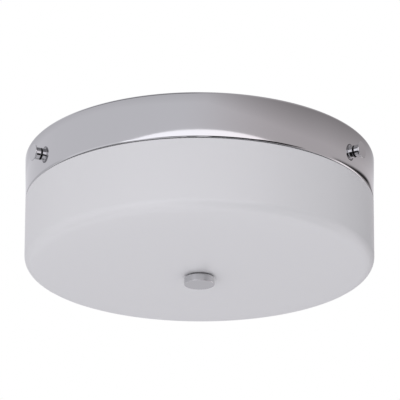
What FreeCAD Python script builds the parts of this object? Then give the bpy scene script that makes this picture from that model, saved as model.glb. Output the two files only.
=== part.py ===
"""A flush mount ceiling light: chrome skirt, opal glass drum, centre finial and three side knobs.

Millimetres. Z points up, and z = 0 is the ceiling. The origin is the middle of the mounting plate's top face,
so the light hangs down from it. A piece that points outwards from the middle is drawn with its own Z
outwards, its own Y up and its own X sideways, and is then placed.
"""
import FreeCAD, Part
import math
import os

import Sketcher
from FreeCAD import Placement, Rotation, Vector

DIMENSIONS = [
    # The skirt, a pressed steel ring.
    ("pan_radius", 175.0, "outer radius at the ceiling"),
    ("pan_foot_radius", 173.0, "outer radius at the seam with the glass"),
    ("pan_height", 44.5, "top face to the lowest point of the rolled rim"),
    ("pan_sheet", 0.8, "sheet thickness"),
    ("pan_top_bend", 2.0, "outer radius of the top bend"),
    ("pan_rim_bend", 2.3, "outer radius of the rolled lower rim"),
    ("pan_flange_inner", 165.0, "inner radius of the top flange"),
    ("pan_rim_inner", 161.0, "inner radius of the lower flange"),
    ("stud_hole_radius", 2.75, "clearance for a knob's stud"),
    ("notch_width", 28.0, "notch in the top flange that lets a lug pass"),
    # The foam strip under the ceiling.
    ("foam_height", 1.5, "squeezed height, and so the gap above the skirt"),
    ("foam_inner", 165.4, "inner radius"),
    ("foam_outer", 170.2, "outer radius"),
    # The mounting plate.
    ("plate_sheet", 1.5, "sheet thickness"),
    ("plate_radius", 163.0, "outer radius of the turned rim"),
    ("plate_rim", 8.0, "height of the turned rim"),
    ("plate_bend", 2.5, "outer radius of the plate's bends"),
    ("dish_depth", 8.0, "depth of the centre dish"),
    ("dish_floor_radius", 24.0, "where the dish's floor ends"),
    ("dish_mouth_radius", 30.0, "where the dish's wall meets the flat field"),
    ("dish_bend", 2.0, "bends of the dish"),
    ("bead_radius", 139.0, "middle of the stiffening bead"),
    ("bead_floor", 4.0, "width of the bead's floor"),
    ("bead_slope", 4.0, "width of each of the bead's slopes"),
    ("bead_depth", 2.0, "depth of the bead"),
    ("bead_bend", 2.2, "bends of the bead"),
    ("rod_hole_radius", 5.2, "hole for the centre rod"),
    ("fixing_hole_radius", 3.0, "hole for a ceiling screw"),
    ("fixing_hole_circle", 115.0, "radius of the circle of ceiling screws"),
    ("cable_boss_place", 98.0, "distance of the cable hole from the middle"),
    ("cable_boss_radius", 18.0, "outside of the pressed boss round the cable hole"),
    ("cable_boss_depth", 3.0, "how far the boss is pressed down"),
    ("cable_hole_radius", 8.0, "cable hole in the plate"),
    # The lugs that carry the knobs.
    ("lug_face", 172.3, "distance of a lug's outer face from the middle"),
    ("lug_root", 156.0, "where a lug's arm leaves the plate"),
    ("lug_width", 22.0, "width of a lug"),
    ("lug_relief", 3.0, "gap in the rim at each side of a lug"),
    ("lug_depth", 33.0, "how far a lug reaches down"),
    ("lug_corner", 5.0, "radius of a lug's lower corners"),
    # The knobs.
    ("knob_height", 24.0, "how far the knobs are below the ceiling"),
    ("knob_seat", 174.3, "distance of a knob's rubber washer from the middle"),
    ("knob_washer_radius", 5.7, "outer radius of the rubber washer"),
    ("knob_washer_hole", 2.7, "hole of the rubber washer"),
    ("knob_washer_thick", 0.5, "thickness of the rubber washer"),
    ("knob_neck_radius", 5.9, "radius of a knob's neck"),
    ("knob_flare_radius", 8.1, "radius of a knob's flared end"),
    ("knob_length", 8.1, "length of a knob"),
    ("knob_lip", 0.7, "thickness of the flare's lip"),
    ("knob_flare_curve", 2.0, "radius of the hollow curve under the flare"),
    ("knob_edge", 0.3, "rounding of a knob's edges"),
    ("knob_socket_depth", 5.2, "depth of a knob's tapped socket"),
    ("stud_radius", 2.5, "radius of the studs, M5"),
    ("stud_bore_radius", 2.55, "radius of a bore that takes a stud"),
    ("stud_tip", 165.4, "distance of a stud's inner end from the middle"),
    ("stud_chamfer", 0.5, "chamfer at a stud's ends"),
    ("lug_nut_across", 8.0, "lug nut across its flats"),
    ("lug_nut_thick", 4.0, "thickness of a lug nut"),
    # The soft ring between the skirt and the glass.
    ("seal_inner", 164.5, "inner radius"),
    ("seal_outer", 170.7, "outer radius"),
    ("seal_thick", 0.8, "thickness"),
    # The glass drum.
    ("glass_radius", 173.1, "outer radius at the rim"),
    ("glass_foot_radius", 171.5, "outer radius where wall and base would meet"),
    ("glass_foot_height", 114.5, "depth below the ceiling where wall and base would meet"),
    ("glass_belly", 4.7, "how far the middle of the base bulges below that"),
    ("glass_corner", 11.0, "rounding between the wall and the base"),
    ("glass_wall", 4.0, "thickness"),
    ("glass_edge", 0.9, "melted edge of the rim"),
    ("glass_hole_radius", 8.5, "centre hole"),
    # The centre rod and what is screwed on it.
    ("rod_radius", 5.0, "radius of the rod, M10 x 1"),
    ("rod_top", 2.0, "depth of the rod's top end"),
    ("rod_end", 125.0, "depth of the rod's lower end"),
    ("rod_chamfer", 0.8, "chamfer at the rod's ends"),
    ("rod_bore_radius", 5.05, "radius of a thread that takes the rod"),
    ("rod_nut_across", 14.0, "rod nut across its flats"),
    ("upper_nut_thick", 4.0, "thickness of the nut in the dish"),
    ("lower_nut_thick", 5.0, "thickness of the other rod nuts"),
    ("flat_washer_radius", 10.5, "outer radius of the washer under the dish"),
    ("flat_washer_thick", 1.2, "its thickness"),
    ("spring_washer_radius", 8.4, "outer radius of the spring washer"),
    ("spring_washer_thick", 1.6, "its thickness"),
    ("washer_bore_radius", 5.3, "bore of the rod's washers"),
    ("stop_washer_radius", 12.0, "outer radius of the washer that sets the glass"),
    ("stop_gap", 0.15, "play between the stop washer and the bushing"),
    # The bushing in the glass.
    ("bushing_flange_radius", 13.0, "radius of the bushing's flange"),
    ("bushing_flange_thick", 1.5, "thickness of the bushing's flange"),
    ("bushing_play", 0.1, "between the bushing and the hole"),
    ("bushing_lift", 0.05, "between the flange and the curved glass"),
    # The finial.
    ("finial_radius", 15.0, "radius of the disc"),
    ("finial_height", 7.0, "height of the disc"),
    ("finial_edge", 0.5, "rounding of the disc's edges"),
    ("finial_boss_radius", 7.0, "radius of the boss that passes through the glass"),
    ("finial_boss_length", 6.4, "length of the boss"),
    ("finial_face_thick", 2.1, "metal left below the tapped socket"),
    ("finial_washer_radius", 12.0, "radius of the rubber washer"),
    ("finial_washer_thick", 1.6, "thickness of the rubber washer"),
    ("boss_clear_radius", 7.3, "bore round the boss"),
    # The lampholders, their brackets and the lamps.
    ("lamp_height", 38.0, "depth of the lamps' axes below the ceiling"),
    ("holder_place", 52.0, "distance of a lampholder's back from the middle"),
    ("bracket_sheet", 1.2, "thickness of a bracket"),
    ("bracket_width", 30.0, "width of a bracket"),
    ("bracket_foot", 18.0, "length of a bracket's foot"),
    ("bracket_below", 9.5, "how far a bracket reaches below the lamp's axis"),
    ("bracket_bend", 2.4, "outer radius of a bracket's bend"),
    ("bracket_corner", 4.0, "rounding of a bracket's corners"),
    ("bracket_window_width", 13.0, "window for the leads"),
    ("bracket_window_height", 5.0, "window for the leads"),
    ("foot_screw_back", 10.0, "a foot screw's distance behind the lampholder"),
    ("foot_screw_side", 10.0, "a foot screw's distance to the side"),
    ("foot_hole_radius", 2.15, "foot screw hole"),
    ("holder_width", 30.0, "width of a lampholder's flange"),
    ("holder_depth", 16.0, "height of a lampholder's flange"),
    ("holder_flange", 5.0, "thickness of a lampholder's flange"),
    ("holder_length", 19.0, "length of a lampholder"),
    ("holder_barrel", 9.0, "radius of a lampholder's barrel"),
    ("holder_edge", 1.0, "rounding of a lampholder's mouth"),
    ("holder_screw_side", 11.9, "a lampholder screw's distance to the side"),
    ("holder_hole_radius", 1.65, "lampholder screw hole"),
    ("holder_tap_radius", 1.55, "its thread in the bracket"),
    ("mouth_width", 13.5, "recess for the lamp's base"),
    ("mouth_height", 5.2, "recess for the lamp's base"),
    ("mouth_depth", 8.0, "recess for the lamp's base"),
    ("pin_pitch", 9.0, "distance between a lamp's two pins"),
    ("pin_bore_radius", 1.8, "bore for a contact"),
    ("contact_radius", 1.7, "radius of a contact"),
    ("contact_start", 2.0, "where a contact starts in its bore"),
    ("contact_length", 8.4, "length of a contact"),
    ("contact_back", 2.2, "solid back of a contact"),
    ("contact_slot_width", 2.5, "slot for a pin"),
    ("contact_slot_height", 1.3, "slot for a pin"),
    ("pin_width", 2.2, "a lamp's pin, a flattened loop"),
    ("pin_thick", 0.9, "a lamp's pin"),
    ("pin_length", 6.0, "a lamp's pin"),
    ("base_play", 0.4, "between the lamp's base and its recess"),
    ("collar_radius", 7.9, "collar of the lamp's base"),
    ("collar_length", 6.6, "collar of the lamp's base"),
    ("capsule_radius", 7.5, "outer radius of the glass capsule"),
    ("capsule_length", 34.0, "length of the glass capsule"),
    ("capsule_wall", 1.0, "thickness of the glass capsule"),
    ("capsule_flat", 0.4, "radius of the flat spot at the capsule's tip"),
    ("collar_edge", 0.9, "rounding of the collar"),
    ("oval_share", 0.45, "corner radius of an oval, as a share of its height"),
    # The terminal block.
    ("block_place", 76.0, "distance of the terminal block from the middle"),
    ("block_length", 34.0, "terminal block across its three poles"),
    ("block_width", 18.0, "terminal block along its wires"),
    ("block_height", 12.5, "terminal block below the plate"),
    ("block_corner", 1.5, "rounding of its corners"),
    ("pole_pitch", 11.0, "distance between poles"),
    ("tower_radius", 3.1, "towers round the clamp screws"),
    ("tower_height", 3.0, "height of the towers"),
    ("tower_bore_radius", 2.2, "bore for a clamp screw"),
    ("clamp_pitch", 6.6, "distance between a pole's two clamp screws"),
    ("tunnel_width", 5.0, "tunnel for an insert"),
    ("tunnel_height", 8.0, "tunnel for an insert"),
    ("tunnel_depth", 9.0, "depth of the tunnels' axes below the ceiling"),
    ("insert_play", 0.1, "between an insert and its tunnel, each side"),
    ("insert_length", 12.0, "length of an insert"),
    ("insert_slot_width", 2.7, "slot for the wires"),
    ("insert_slot_height", 6.9, "slot for the wires"),
    ("clamp_radius", 1.5, "clamp screw, M3"),
    ("clamp_head_radius", 2.1, "clamp screw's head"),
    ("clamp_head_height", 1.6, "clamp screw's head"),
    ("clamp_sunk", 0.4, "depth of a clamp screw's head below its tower's mouth"),
    ("block_hole_radius", 1.4, "fixing screw hole"),
    # Leads, earth and clips.
    ("lead_radius", 0.9, "lead, over its insulation"),
    ("earth_place", 40.0, "distance of the earth screw from the middle"),
    ("earth_tag_radius", 4.2, "eye of the earth lead's tag"),
    ("earth_tag_thick", 0.8, "thickness of the tag"),
    ("earth_barrel_radius", 1.5, "crimped barrel of the tag"),
    ("earth_barrel_end", 9.0, "far end of the barrel from the screw"),
    ("earth_barrel_drop", 0.3, "gap between the barrel and the plate"),
    ("earth_barrel_lap", 0.5, "how far the barrel reaches over the eye"),
    ("earth_washer_radius", 3.6, "toothed washer"),
    ("earth_washer_thick", 0.8, "toothed washer"),
    ("tooth_gap_width", 0.9, "gap between the washer's teeth"),
    ("tooth_gap_depth", 1.6, "gap between the washer's teeth"),
    ("clip_place", 61.0, "distance of the lead clips from the middle"),
    ("clip_width", 5.2, "width of a clip"),
    ("clip_depth", 12.3, "height of a clip"),
    ("clip_length", 4.0, "length of a clip along the leads"),
    ("clip_wall", 1.3, "thickness of a clip"),
    ("clip_roof", 3.9, "thickness of a clip above the leads"),
    ("clip_peg_radius", 1.9, "peg that holds a clip in the plate"),
    ("clip_hole_radius", 2.0, "hole for the peg"),
    # Small screws.
    ("plate_tap_radius", 2.05, "M4 thread in the plate"),
    ("screw_radius", 2.0, "M4 screws"),
    ("screw_head_radius", 3.6, "heads of the M4 screws"),
    ("screw_head_height", 2.4, "heads of the M4 screws"),
    ("small_tap_radius", 1.3, "M2.5 thread in the plate"),
    ("block_screw_radius", 1.25, "fixing screws of the terminal block, M2.5"),
    ("block_screw_head", 2.3, "their heads"),
    ("block_screw_head_height", 1.6, "their heads"),
    ("holder_screw_radius", 1.5, "lampholder screws, M3"),
    ("holder_screw_head", 2.7, "their heads"),
    ("holder_screw_head_height", 2.0, "their heads"),
    ("holder_screw_tail", 2.4, "how far they reach behind the lampholder"),
    ("slot_width", 0.8, "screwdriver slot"),
    ("slot_depth", 0.8, "screwdriver slot"),
    ("tip_gap", 0.2, "between a screw's tip and the ceiling"),
    # The grommet.
    ("grommet_bore_radius", 4.5, "bore for the supply cable"),
    ("grommet_flange_radius", 11.0, "flanges on both sides of the plate"),
    ("grommet_flange_thick", 1.2, "upper flange"),
    ("grommet_collar", 2.5, "collar below the plate"),
    ("grommet_groove_radius", 7.9, "bottom of the groove that holds the plate"),
    # Cuts.
    ("past", 1.0, "how far a cut runs past the piece"),
]

LUG_ANGLES = (90, 210, 330)
LAMP_ANGLES = (30, 150, 270)
BLOCK_ANGLE = 330
CABLE_ANGLE = 0
POLES = (-1, 0, 1)
WASHER_TEETH = 8
ARC_SHARE = 0.45
NEAR = 0.01

document = FreeCAD.newDocument("CeilingLight")
sheet = document.addObject("Spreadsheet::Sheet", "Dimensions")
for row, (alias, number, meaning) in enumerate(DIMENSIONS, 1):
    sheet.set(f"A{row}", meaning)
    sheet.set(f"B{row}", str(number))
    sheet.setAlias(f"B{row}", alias)
document.recompute()


class Size:
    """A length with the spreadsheet expression that gives it."""

    def __init__(self, number, text):
        self.number = number
        self.text = text

    def __add__(self, other):
        other = as_size(other)
        return Size(self.number + other.number, f"({self.text} + {other.text})")

    def __sub__(self, other):
        other = as_size(other)
        return Size(self.number - other.number, f"({self.text} - {other.text})")

    def __mul__(self, other):
        other = as_size(other)
        return Size(self.number * other.number, f"({self.text} * {other.text})")

    def __truediv__(self, other):
        other = as_size(other)
        return Size(self.number / other.number, f"({self.text} / {other.text})")

    def __neg__(self):
        return Size(-self.number, f"(-1 * {self.text})")

    def __radd__(self, other):
        return as_size(other) + self

    def __rsub__(self, other):
        return as_size(other) - self

    def __rmul__(self, other):
        return as_size(other) * self

    def root(self):
        return Size(math.sqrt(self.number), f"sqrt({self.text})")


def as_size(thing):
    return thing if isinstance(thing, Size) else Size(float(thing), f"{float(thing):.6f}")


class Sizes:
    """Reads a length from the spreadsheet by its alias."""

    def __getattr__(self, alias):
        return Size(float(sheet.get(alias)), f"Dimensions.{alias}")


size = Sizes()


def bind(thing, field, length):
    thing.setExpression(field, as_size(length).text)


# ---------------------------------------------------------------------------------------------------------
# Sketches
# ---------------------------------------------------------------------------------------------------------

ORIGIN = -1
START = 1
END = 2
CENTRE = 3


def new_body(name):
    body = document.addObject("PartDesign::Body", name)
    body.Label = name
    return body


def new_sketch(body, name, plane="XY_Plane", raised=None):
    """A sketch on one of the body's own planes, raised along the plane's normal."""
    sketch = body.newObject("Sketcher::SketchObject", name)
    support = [part for part in body.Origin.OriginFeatures if part.Role == plane][0]
    sketch.AttachmentSupport = [(support, "")]
    sketch.MapMode = "FlatFace"
    if raised is not None:
        bind(sketch, "AttachmentOffset.Base.z", raised)
    return sketch


def constrain(sketch, rules):
    """Add constraints at once; a rule with a length is driven by the spreadsheet."""
    first = sketch.ConstraintCount
    sketch.addConstraint([rule for rule, length in rules])
    for index, (rule, length) in enumerate(rules, first):
        if length is not None:
            sketch.setExpression(f"Constraints[{index}]", as_size(length).text)


def at(edge, end, across, up):
    """The two rules that put a point of an edge at a place in the sketch."""
    across, up = as_size(across), as_size(up)
    return [
        (Sketcher.Constraint("DistanceX", ORIGIN, START, edge, end, across.number), across),
        (Sketcher.Constraint("DistanceY", ORIGIN, START, edge, end, up.number), up),
    ]


def outline(sketch, corners):
    """A closed loop of straight edges; a corner with a third value is rounded to that radius."""
    count = len(corners)
    points = [Vector(as_size(corner[0]).number, as_size(corner[1]).number, 0) for corner in corners]
    radii = [as_size(corner[2]).number if len(corner) > 2 else 0.0 for corner in corners]
    back = [(points[i - 1] - points[i]).normalize() for i in range(count)]
    ahead = [(points[(i + 1) % count] - points[i]).normalize() for i in range(count)]
    half = [back[i].getAngle(ahead[i]) / 2 for i in range(count)]
    trim = [radii[i] / math.tan(half[i]) for i in range(count)]
    edges = []
    for i in range(count):
        following = (i + 1) % count
        start = points[i] + ahead[i] * trim[i]
        end = points[following] + back[following] * trim[following]
        edges.append(sketch.addGeometry(Part.LineSegment(start, end), False))
    rules = []
    for i in range(count):
        entering, leaving = edges[i - 1], edges[i]
        if not radii[i]:
            rules.append((Sketcher.Constraint("Coincident", entering, END, leaving, START), None))
            rules += at(leaving, START, corners[i][0], corners[i][1])
            continue
        corner = sketch.addGeometry(Part.Point(points[i]), True)
        rules += at(corner, START, corners[i][0], corners[i][1])
        rules.append((Sketcher.Constraint("PointOnObject", corner, START, entering), None))
        rules.append((Sketcher.Constraint("PointOnObject", corner, START, leaving), None))
        towards = (back[i] + ahead[i]).normalize()
        centre = points[i] + towards * (radii[i] / math.sin(half[i]))
        first = points[i] + back[i] * trim[i] - centre
        last = points[i] + ahead[i] * trim[i] - centre
        left_turn = back[i].cross(ahead[i]).z < 0
        if not left_turn:
            first, last = last, first
        circle = Part.Circle(centre, Vector(0, 0, 1), radii[i])
        arc = Part.ArcOfCircle(circle, math.atan2(first.y, first.x), math.atan2(last.y, last.x))
        bend = sketch.addGeometry(arc, False)
        inward, outward = (START, END) if left_turn else (END, START)
        rules.append((Sketcher.Constraint("Tangent", entering, END, bend, inward), None))
        rules.append((Sketcher.Constraint("Tangent", leaving, START, bend, outward), None))
        rules.append((Sketcher.Constraint("Radius", bend, radii[i]), corners[i][2]))
    constrain(sketch, rules)


def circle(sketch, across, up, radius):
    across, up, radius = as_size(across), as_size(up), as_size(radius)
    centre = Vector(across.number, up.number, 0)
    ring = sketch.addGeometry(Part.Circle(centre, Vector(0, 0, 1), radius.number), False)
    rules = at(ring, CENTRE, across, up)
    rules.append((Sketcher.Constraint("Radius", ring, radius.number), radius))
    constrain(sketch, rules)


def rectangle(sketch, centre_across, centre_up, width, height, corner=None):
    """A rectangle about its centre, with its corners rounded if a radius is given."""
    width, height = as_size(width), as_size(height)
    left, right = centre_across - width / 2, centre_across + width / 2
    bottom, top = centre_up - height / 2, centre_up + height / 2
    places = [(left, bottom), (right, bottom), (right, top), (left, top)]
    outline(sketch, [place + (corner,) if corner is not None else place for place in places])


# ---------------------------------------------------------------------------------------------------------
# Features and placing
# ---------------------------------------------------------------------------------------------------------


def revolve(body, sketch, name):
    feature = body.newObject("PartDesign::Revolution", name)
    feature.Profile = sketch
    feature.ReferenceAxis = (sketch, ["V_Axis"])
    feature.Angle = 360
    return feature


def pad(body, sketch, length, name, downwards=False, both_ways=False):
    feature = body.newObject("PartDesign::Pad", name)
    feature.Profile = sketch
    bind(feature, "Length", length)
    feature.Reversed = downwards
    feature.Midplane = both_ways
    return feature


def pocket(body, sketch, depth, name, upwards=False, both_ways=False):
    """Cuts against the sketch's normal, or along it if upwards."""
    feature = body.newObject("PartDesign::Pocket", name)
    feature.Profile = sketch
    bind(feature, "Length", depth)
    feature.Reversed = upwards
    feature.Midplane = both_ways
    return feature


def ring_pattern(body, features, count, name):
    """Repeats features evenly round the body's Z axis."""
    feature = body.newObject("PartDesign::PolarPattern", name)
    feature.Originals = features
    axis = [part for part in body.Origin.OriginFeatures if part.Role == "Z_Axis"][0]
    feature.Axis = (axis, [""])
    feature.Angle = 360
    feature.Occurrences = count
    body.Tip = feature
    return feature


def round_edges(body, feature, radius, name, chosen):
    """Fillets the feature's edges whose middle passes the test."""
    document.recompute()
    edges = []
    for index, edge in enumerate(feature.Shape.Edges, 1):
        middle = edge.valueAt((edge.FirstParameter + edge.LastParameter) / 2)
        if chosen(edge, middle):
            edges.append(f"Edge{index}")
    fillet = body.newObject("PartDesign::Fillet", name)
    fillet.Base = (feature, edges)
    bind(fillet, "Radius", radius)
    return fillet


def cylinder(name, radius, height):
    solid = document.addObject("Part::Cylinder", name)
    bind(solid, "Radius", radius)
    bind(solid, "Height", height)
    return solid


def box(name, length, width, height):
    solid = document.addObject("Part::Box", name)
    bind(solid, "Length", length)
    bind(solid, "Width", width)
    bind(solid, "Height", height)
    return solid


def cut(name, base, tool):
    solid = document.addObject("Part::Cut", name)
    solid.Base = base
    solid.Tool = tool
    return solid


def fuse(name, pieces):
    solid = document.addObject("Part::MultiFuse", name)
    solid.Shapes = pieces
    return solid


def group(name, pieces):
    """Like pieces that share a node, each still a solid of its own."""
    together = document.addObject("Part::Compound", name)
    together.Links = pieces
    together.Label = name
    return together


def put(thing, across, along, up, rotation=None):
    """Sets a piece's place, driven by the spreadsheet."""
    thing.Placement = Placement(Vector(), rotation or Rotation())
    bind(thing, "Placement.Base.x", across)
    bind(thing, "Placement.Base.y", along)
    bind(thing, "Placement.Base.z", up)
    return thing


def round_the_middle(angle, distance, aside):
    """The x and y of a point at a distance from the middle, and aside of that line to the left."""
    cosine, sine = math.cos(math.radians(angle)), math.sin(math.radians(angle))
    distance, aside = as_size(distance), as_size(aside)
    across = Size(distance.number * cosine - aside.number * sine,
                  f"({distance.text} * cos({angle} deg) - {aside.text} * sin({angle} deg))")
    along = Size(distance.number * sine + aside.number * cosine,
                 f"({distance.text} * sin({angle} deg) + {aside.text} * cos({angle} deg))")
    return across, along


OUTWARDS = Rotation(Vector(1, 1, 1), 120)


def put_outwards(thing, angle, distance, depth, aside=0.0):
    """Points the piece's Z outwards and its Y up, at a distance from the middle and a depth."""
    across, along = round_the_middle(angle, distance, aside)
    return put(thing, across, along, -as_size(depth), Rotation(Vector(0, 0, 1), angle) * OUTWARDS)


def put_upright(thing, angle, distance, up, aside=0.0):
    """Keeps the piece's Z up and points its Y outwards, at a distance from the middle."""
    across, along = round_the_middle(angle, distance, aside)
    return put(thing, across, along, up, Rotation(Vector(0, 0, 1), angle - 90))


def washer(name, outer, inner, thick, bottom):
    """A flat ring about the middle axis."""
    disc = put(cylinder(name + "_disc", outer, thick), 0, 0, bottom)
    hole = put(cylinder(name + "_hole", inner, thick * 3), 0, 0, bottom - thick)
    ring = cut(name, disc, hole)
    ring.Label = name
    return ring


def hex_nut(name, across_flats, bore, thick):
    """A nut standing on its own z = 0, with its corners turned off as a nut's are."""
    body = new_body(name)
    flats = new_sketch(body, name + "_flats")
    reach = across_flats / math.sqrt(3)
    corners = []
    for step in range(6):
        turn = math.radians(60 * step)
        corners.append((reach * math.cos(turn), reach * math.sin(turn)))
    outline(flats, corners)
    pad(body, flats, thick, name + "_blank")
    bore_sketch = new_sketch(body, name + "_bore")
    circle(bore_sketch, 0, 0, bore)
    pocket(body, bore_sketch, thick * 2, name + "_thread", upwards=True)
    turned = new_sketch(body, name + "_corners", "XZ_Plane")
    chamfer = (reach - across_flats / 2) / 2
    beyond = reach + size.past
    outline(turned, [
        (across_flats / 2, thick + NEAR),
        (beyond, thick - (beyond - across_flats / 2) / 2),
        (beyond, thick + chamfer + size.past),
        (across_flats / 2, thick + chamfer + size.past),
    ])
    groove = body.newObject("PartDesign::Groove", name + "_turning")
    groove.Profile = turned
    groove.ReferenceAxis = (turned, ["V_Axis"])
    groove.Angle = 360
    return body


def screw(name, shank_radius, shank_length, head_radius, head_height):
    """A slotted pan head screw: the head's underside is z = 0, the shank points up its Z."""
    shank = cylinder(name + "_shank", shank_radius, shank_length)
    head = put(cylinder(name + "_head", head_radius, head_height), 0, 0, -head_height)
    whole = fuse(name + "_blank", [shank, head])
    driver = box(name + "_driver", (head_radius + size.past) * 2, size.slot_width, size.slot_depth * 2)
    put(driver, -head_radius - size.past, -size.slot_width / 2, -head_height - size.slot_depth)
    return cut(name, whole, driver)


# ---------------------------------------------------------------------------------------------------------
# Levels down the middle, from the ceiling
# ---------------------------------------------------------------------------------------------------------

pan_top = -size.foam_height
seam = pan_top - size.pan_height
glass_top = seam - size.seal_thick
glass_bottom = -size.glass_foot_height - size.glass_belly
dish_floor = -size.dish_depth
dish_underside = dish_floor - size.plate_sheet
bushing_top = glass_bottom + size.glass_wall + size.bushing_lift + size.bushing_flange_thick
stop_washer_bottom = bushing_top + size.stop_gap
finial_top = glass_bottom - size.finial_washer_thick
finial_bottom = finial_top - size.finial_height


def mounting_plate():
    """Pressed steel: a flat field with a centre dish, a bead, a turned rim and three folded lugs."""
    body = new_body("mounting_plate")
    sheet_thick = size.plate_sheet
    rise = size.dish_depth
    run = size.dish_mouth_radius - size.dish_floor_radius
    slant = (rise * rise + run * run).root()
    dish_shift = sheet_thick * (slant - run) / rise
    bead_slant = (size.bead_depth * size.bead_depth + size.bead_slope * size.bead_slope).root()
    bead_shift = sheet_thick * (bead_slant - size.bead_slope) / size.bead_depth
    bead_in = size.bead_radius - size.bead_floor / 2
    bead_out = size.bead_radius + size.bead_floor / 2
    small = size.dish_bend
    large = size.dish_bend + sheet_thick
    gentle = size.bead_bend
    broad = size.bead_bend + sheet_thick
    section = new_sketch(body, "plate_section", "XZ_Plane")
    outline(section, [
        (size.rod_hole_radius, dish_floor),
        (size.dish_floor_radius, dish_floor, small),
        (size.dish_mouth_radius, 0, large),
        (bead_in - size.bead_slope, 0, broad),
        (bead_in, -size.bead_depth, gentle),
        (bead_out, -size.bead_depth, gentle),
        (bead_out + size.bead_slope, 0, broad),
        (size.plate_radius, 0, size.plate_bend),
        (size.plate_radius, -size.plate_rim),
        (size.plate_radius - sheet_thick, -size.plate_rim),
        (size.plate_radius - sheet_thick, -sheet_thick, size.plate_bend - sheet_thick),
        (bead_out + size.bead_slope + bead_shift, -sheet_thick, gentle),
        (bead_out + bead_shift, -size.bead_depth - sheet_thick, broad),
        (bead_in - bead_shift, -size.bead_depth - sheet_thick, broad),
        (bead_in - size.bead_slope - bead_shift, -sheet_thick, gentle),
        (size.dish_mouth_radius + dish_shift, -sheet_thick, small),
        (size.dish_floor_radius + dish_shift, dish_underside, large),
        (size.rod_hole_radius, dish_underside),
    ])
    revolve(body, section, "plate_pressing")

    # The rim is cut away for a lug, and the lug's arm runs on from the field and turns down.
    gap = new_sketch(body, "lug_gap_outline")
    gap_depth = size.plate_radius - size.lug_root
    rectangle(gap, as_size(0), size.lug_root + gap_depth, size.lug_width + size.lug_relief * 2, gap_depth * 2)
    lug_gap = pocket(body, gap, size.plate_rim * 2, "lug_gap", both_ways=True)
    bend = size.plate_bend
    arm_root = size.lug_root - size.past
    fold = new_sketch(body, "lug_fold", "YZ_Plane")
    outline(fold, [
        (arm_root, 0),
        (size.lug_face, 0, bend),
        (size.lug_face, -size.lug_depth),
        (size.lug_face - sheet_thick, -size.lug_depth),
        (size.lug_face - sheet_thick, -sheet_thick, bend - sheet_thick),
        (arm_root, -sheet_thick),
    ])
    lug = pad(body, fold, size.lug_width, "lug", both_ways=True)
    stud_hole = new_sketch(body, "lug_hole_outline", "XZ_Plane")
    circle(stud_hole, 0, -size.knob_height, size.stud_hole_radius)
    lug_hole = pocket(body, stud_hole, size.pan_radius, "lug_hole")
    fixing = new_sketch(body, "fixing_hole_outline")
    circle(fixing, 0, size.fixing_hole_circle, size.fixing_hole_radius)
    fixing_hole = pocket(body, fixing, size.plate_sheet * 2, "fixing_hole", both_ways=True)
    lugs = ring_pattern(body, [lug_gap, lug, lug_hole, fixing_hole], len(LUG_ANGLES), "lugs")

    def is_lug_corner(edge, middle):
        reach = math.hypot(middle.x, middle.y)
        low = abs(middle.z + size.lug_depth.number) < NEAR
        short = abs(edge.Length - size.plate_sheet.number) < NEAR
        return low and short and reach > size.plate_radius.number

    round_edges(body, lugs, size.lug_corner, "lug_corners", is_lug_corner)

    # The boss round the cable hole is pressed down, so that the grommet stays below the ceiling.
    boss_x, boss_y = round_the_middle(CABLE_ANGLE, size.cable_boss_place, 0)
    boss = new_sketch(body, "cable_boss_outline")
    circle(boss, boss_x, boss_y, size.cable_boss_radius)
    pad(body, boss, size.cable_boss_depth + sheet_thick, "cable_boss", downwards=True)
    hollow = new_sketch(body, "cable_boss_hollow_outline")
    circle(hollow, boss_x, boss_y, size.cable_boss_radius - sheet_thick)
    pocket(body, hollow, size.cable_boss_depth, "cable_boss_hollow")
    cable = new_sketch(body, "cable_hole_outline")
    circle(cable, boss_x, boss_y, size.cable_hole_radius)
    pocket(body, cable, size.plate_rim, "cable_hole")

    # Tapped and plain holes for what the plate carries.
    holes = new_sketch(body, "small_holes_outline")
    for angle in LAMP_ANGLES:
        for side in (-1, 1):
            distance = size.holder_place - size.foot_screw_back
            hole_x, hole_y = round_the_middle(angle, distance, size.foot_screw_side * side)
            circle(holes, hole_x, hole_y, size.plate_tap_radius)
    for side in (-1, 1):
        hole_x, hole_y = round_the_middle(BLOCK_ANGLE, size.block_place, size.pole_pitch * side / 2)
        circle(holes, hole_x, hole_y, size.small_tap_radius)
        hole_x, hole_y = round_the_middle(BLOCK_ANGLE, size.clip_place, size.pole_pitch * side)
        circle(holes, hole_x, hole_y, size.clip_hole_radius)
    hole_x, hole_y = round_the_middle(BLOCK_ANGLE, size.earth_place, 0)
    circle(holes, hole_x, hole_y, size.plate_tap_radius)
    pocket(body, holes, sheet_thick * 2, "small_holes", both_ways=True)
    return body


def ceiling_gasket():
    """A foam strip on the skirt's top flange, in three lengths between the lugs' notches."""
    body = new_body("ceiling_gasket")
    body.AllowCompound = True
    rings = new_sketch(body, "foam_outline")
    circle(rings, 0, 0, size.foam_outer)
    circle(rings, 0, 0, size.foam_inner)
    pad(body, rings, size.foam_height, "foam", downwards=True)
    notch = new_sketch(body, "foam_notch_outline")
    strip_width = size.foam_outer - size.foam_inner
    rectangle(notch, as_size(0), size.foam_outer, size.notch_width, strip_width * 3)
    foam_notch = pocket(body, notch, size.foam_height * 3, "foam_notch", both_ways=True)
    ring_pattern(body, [foam_notch], len(LUG_ANGLES), "foam_notches")
    return body


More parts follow.
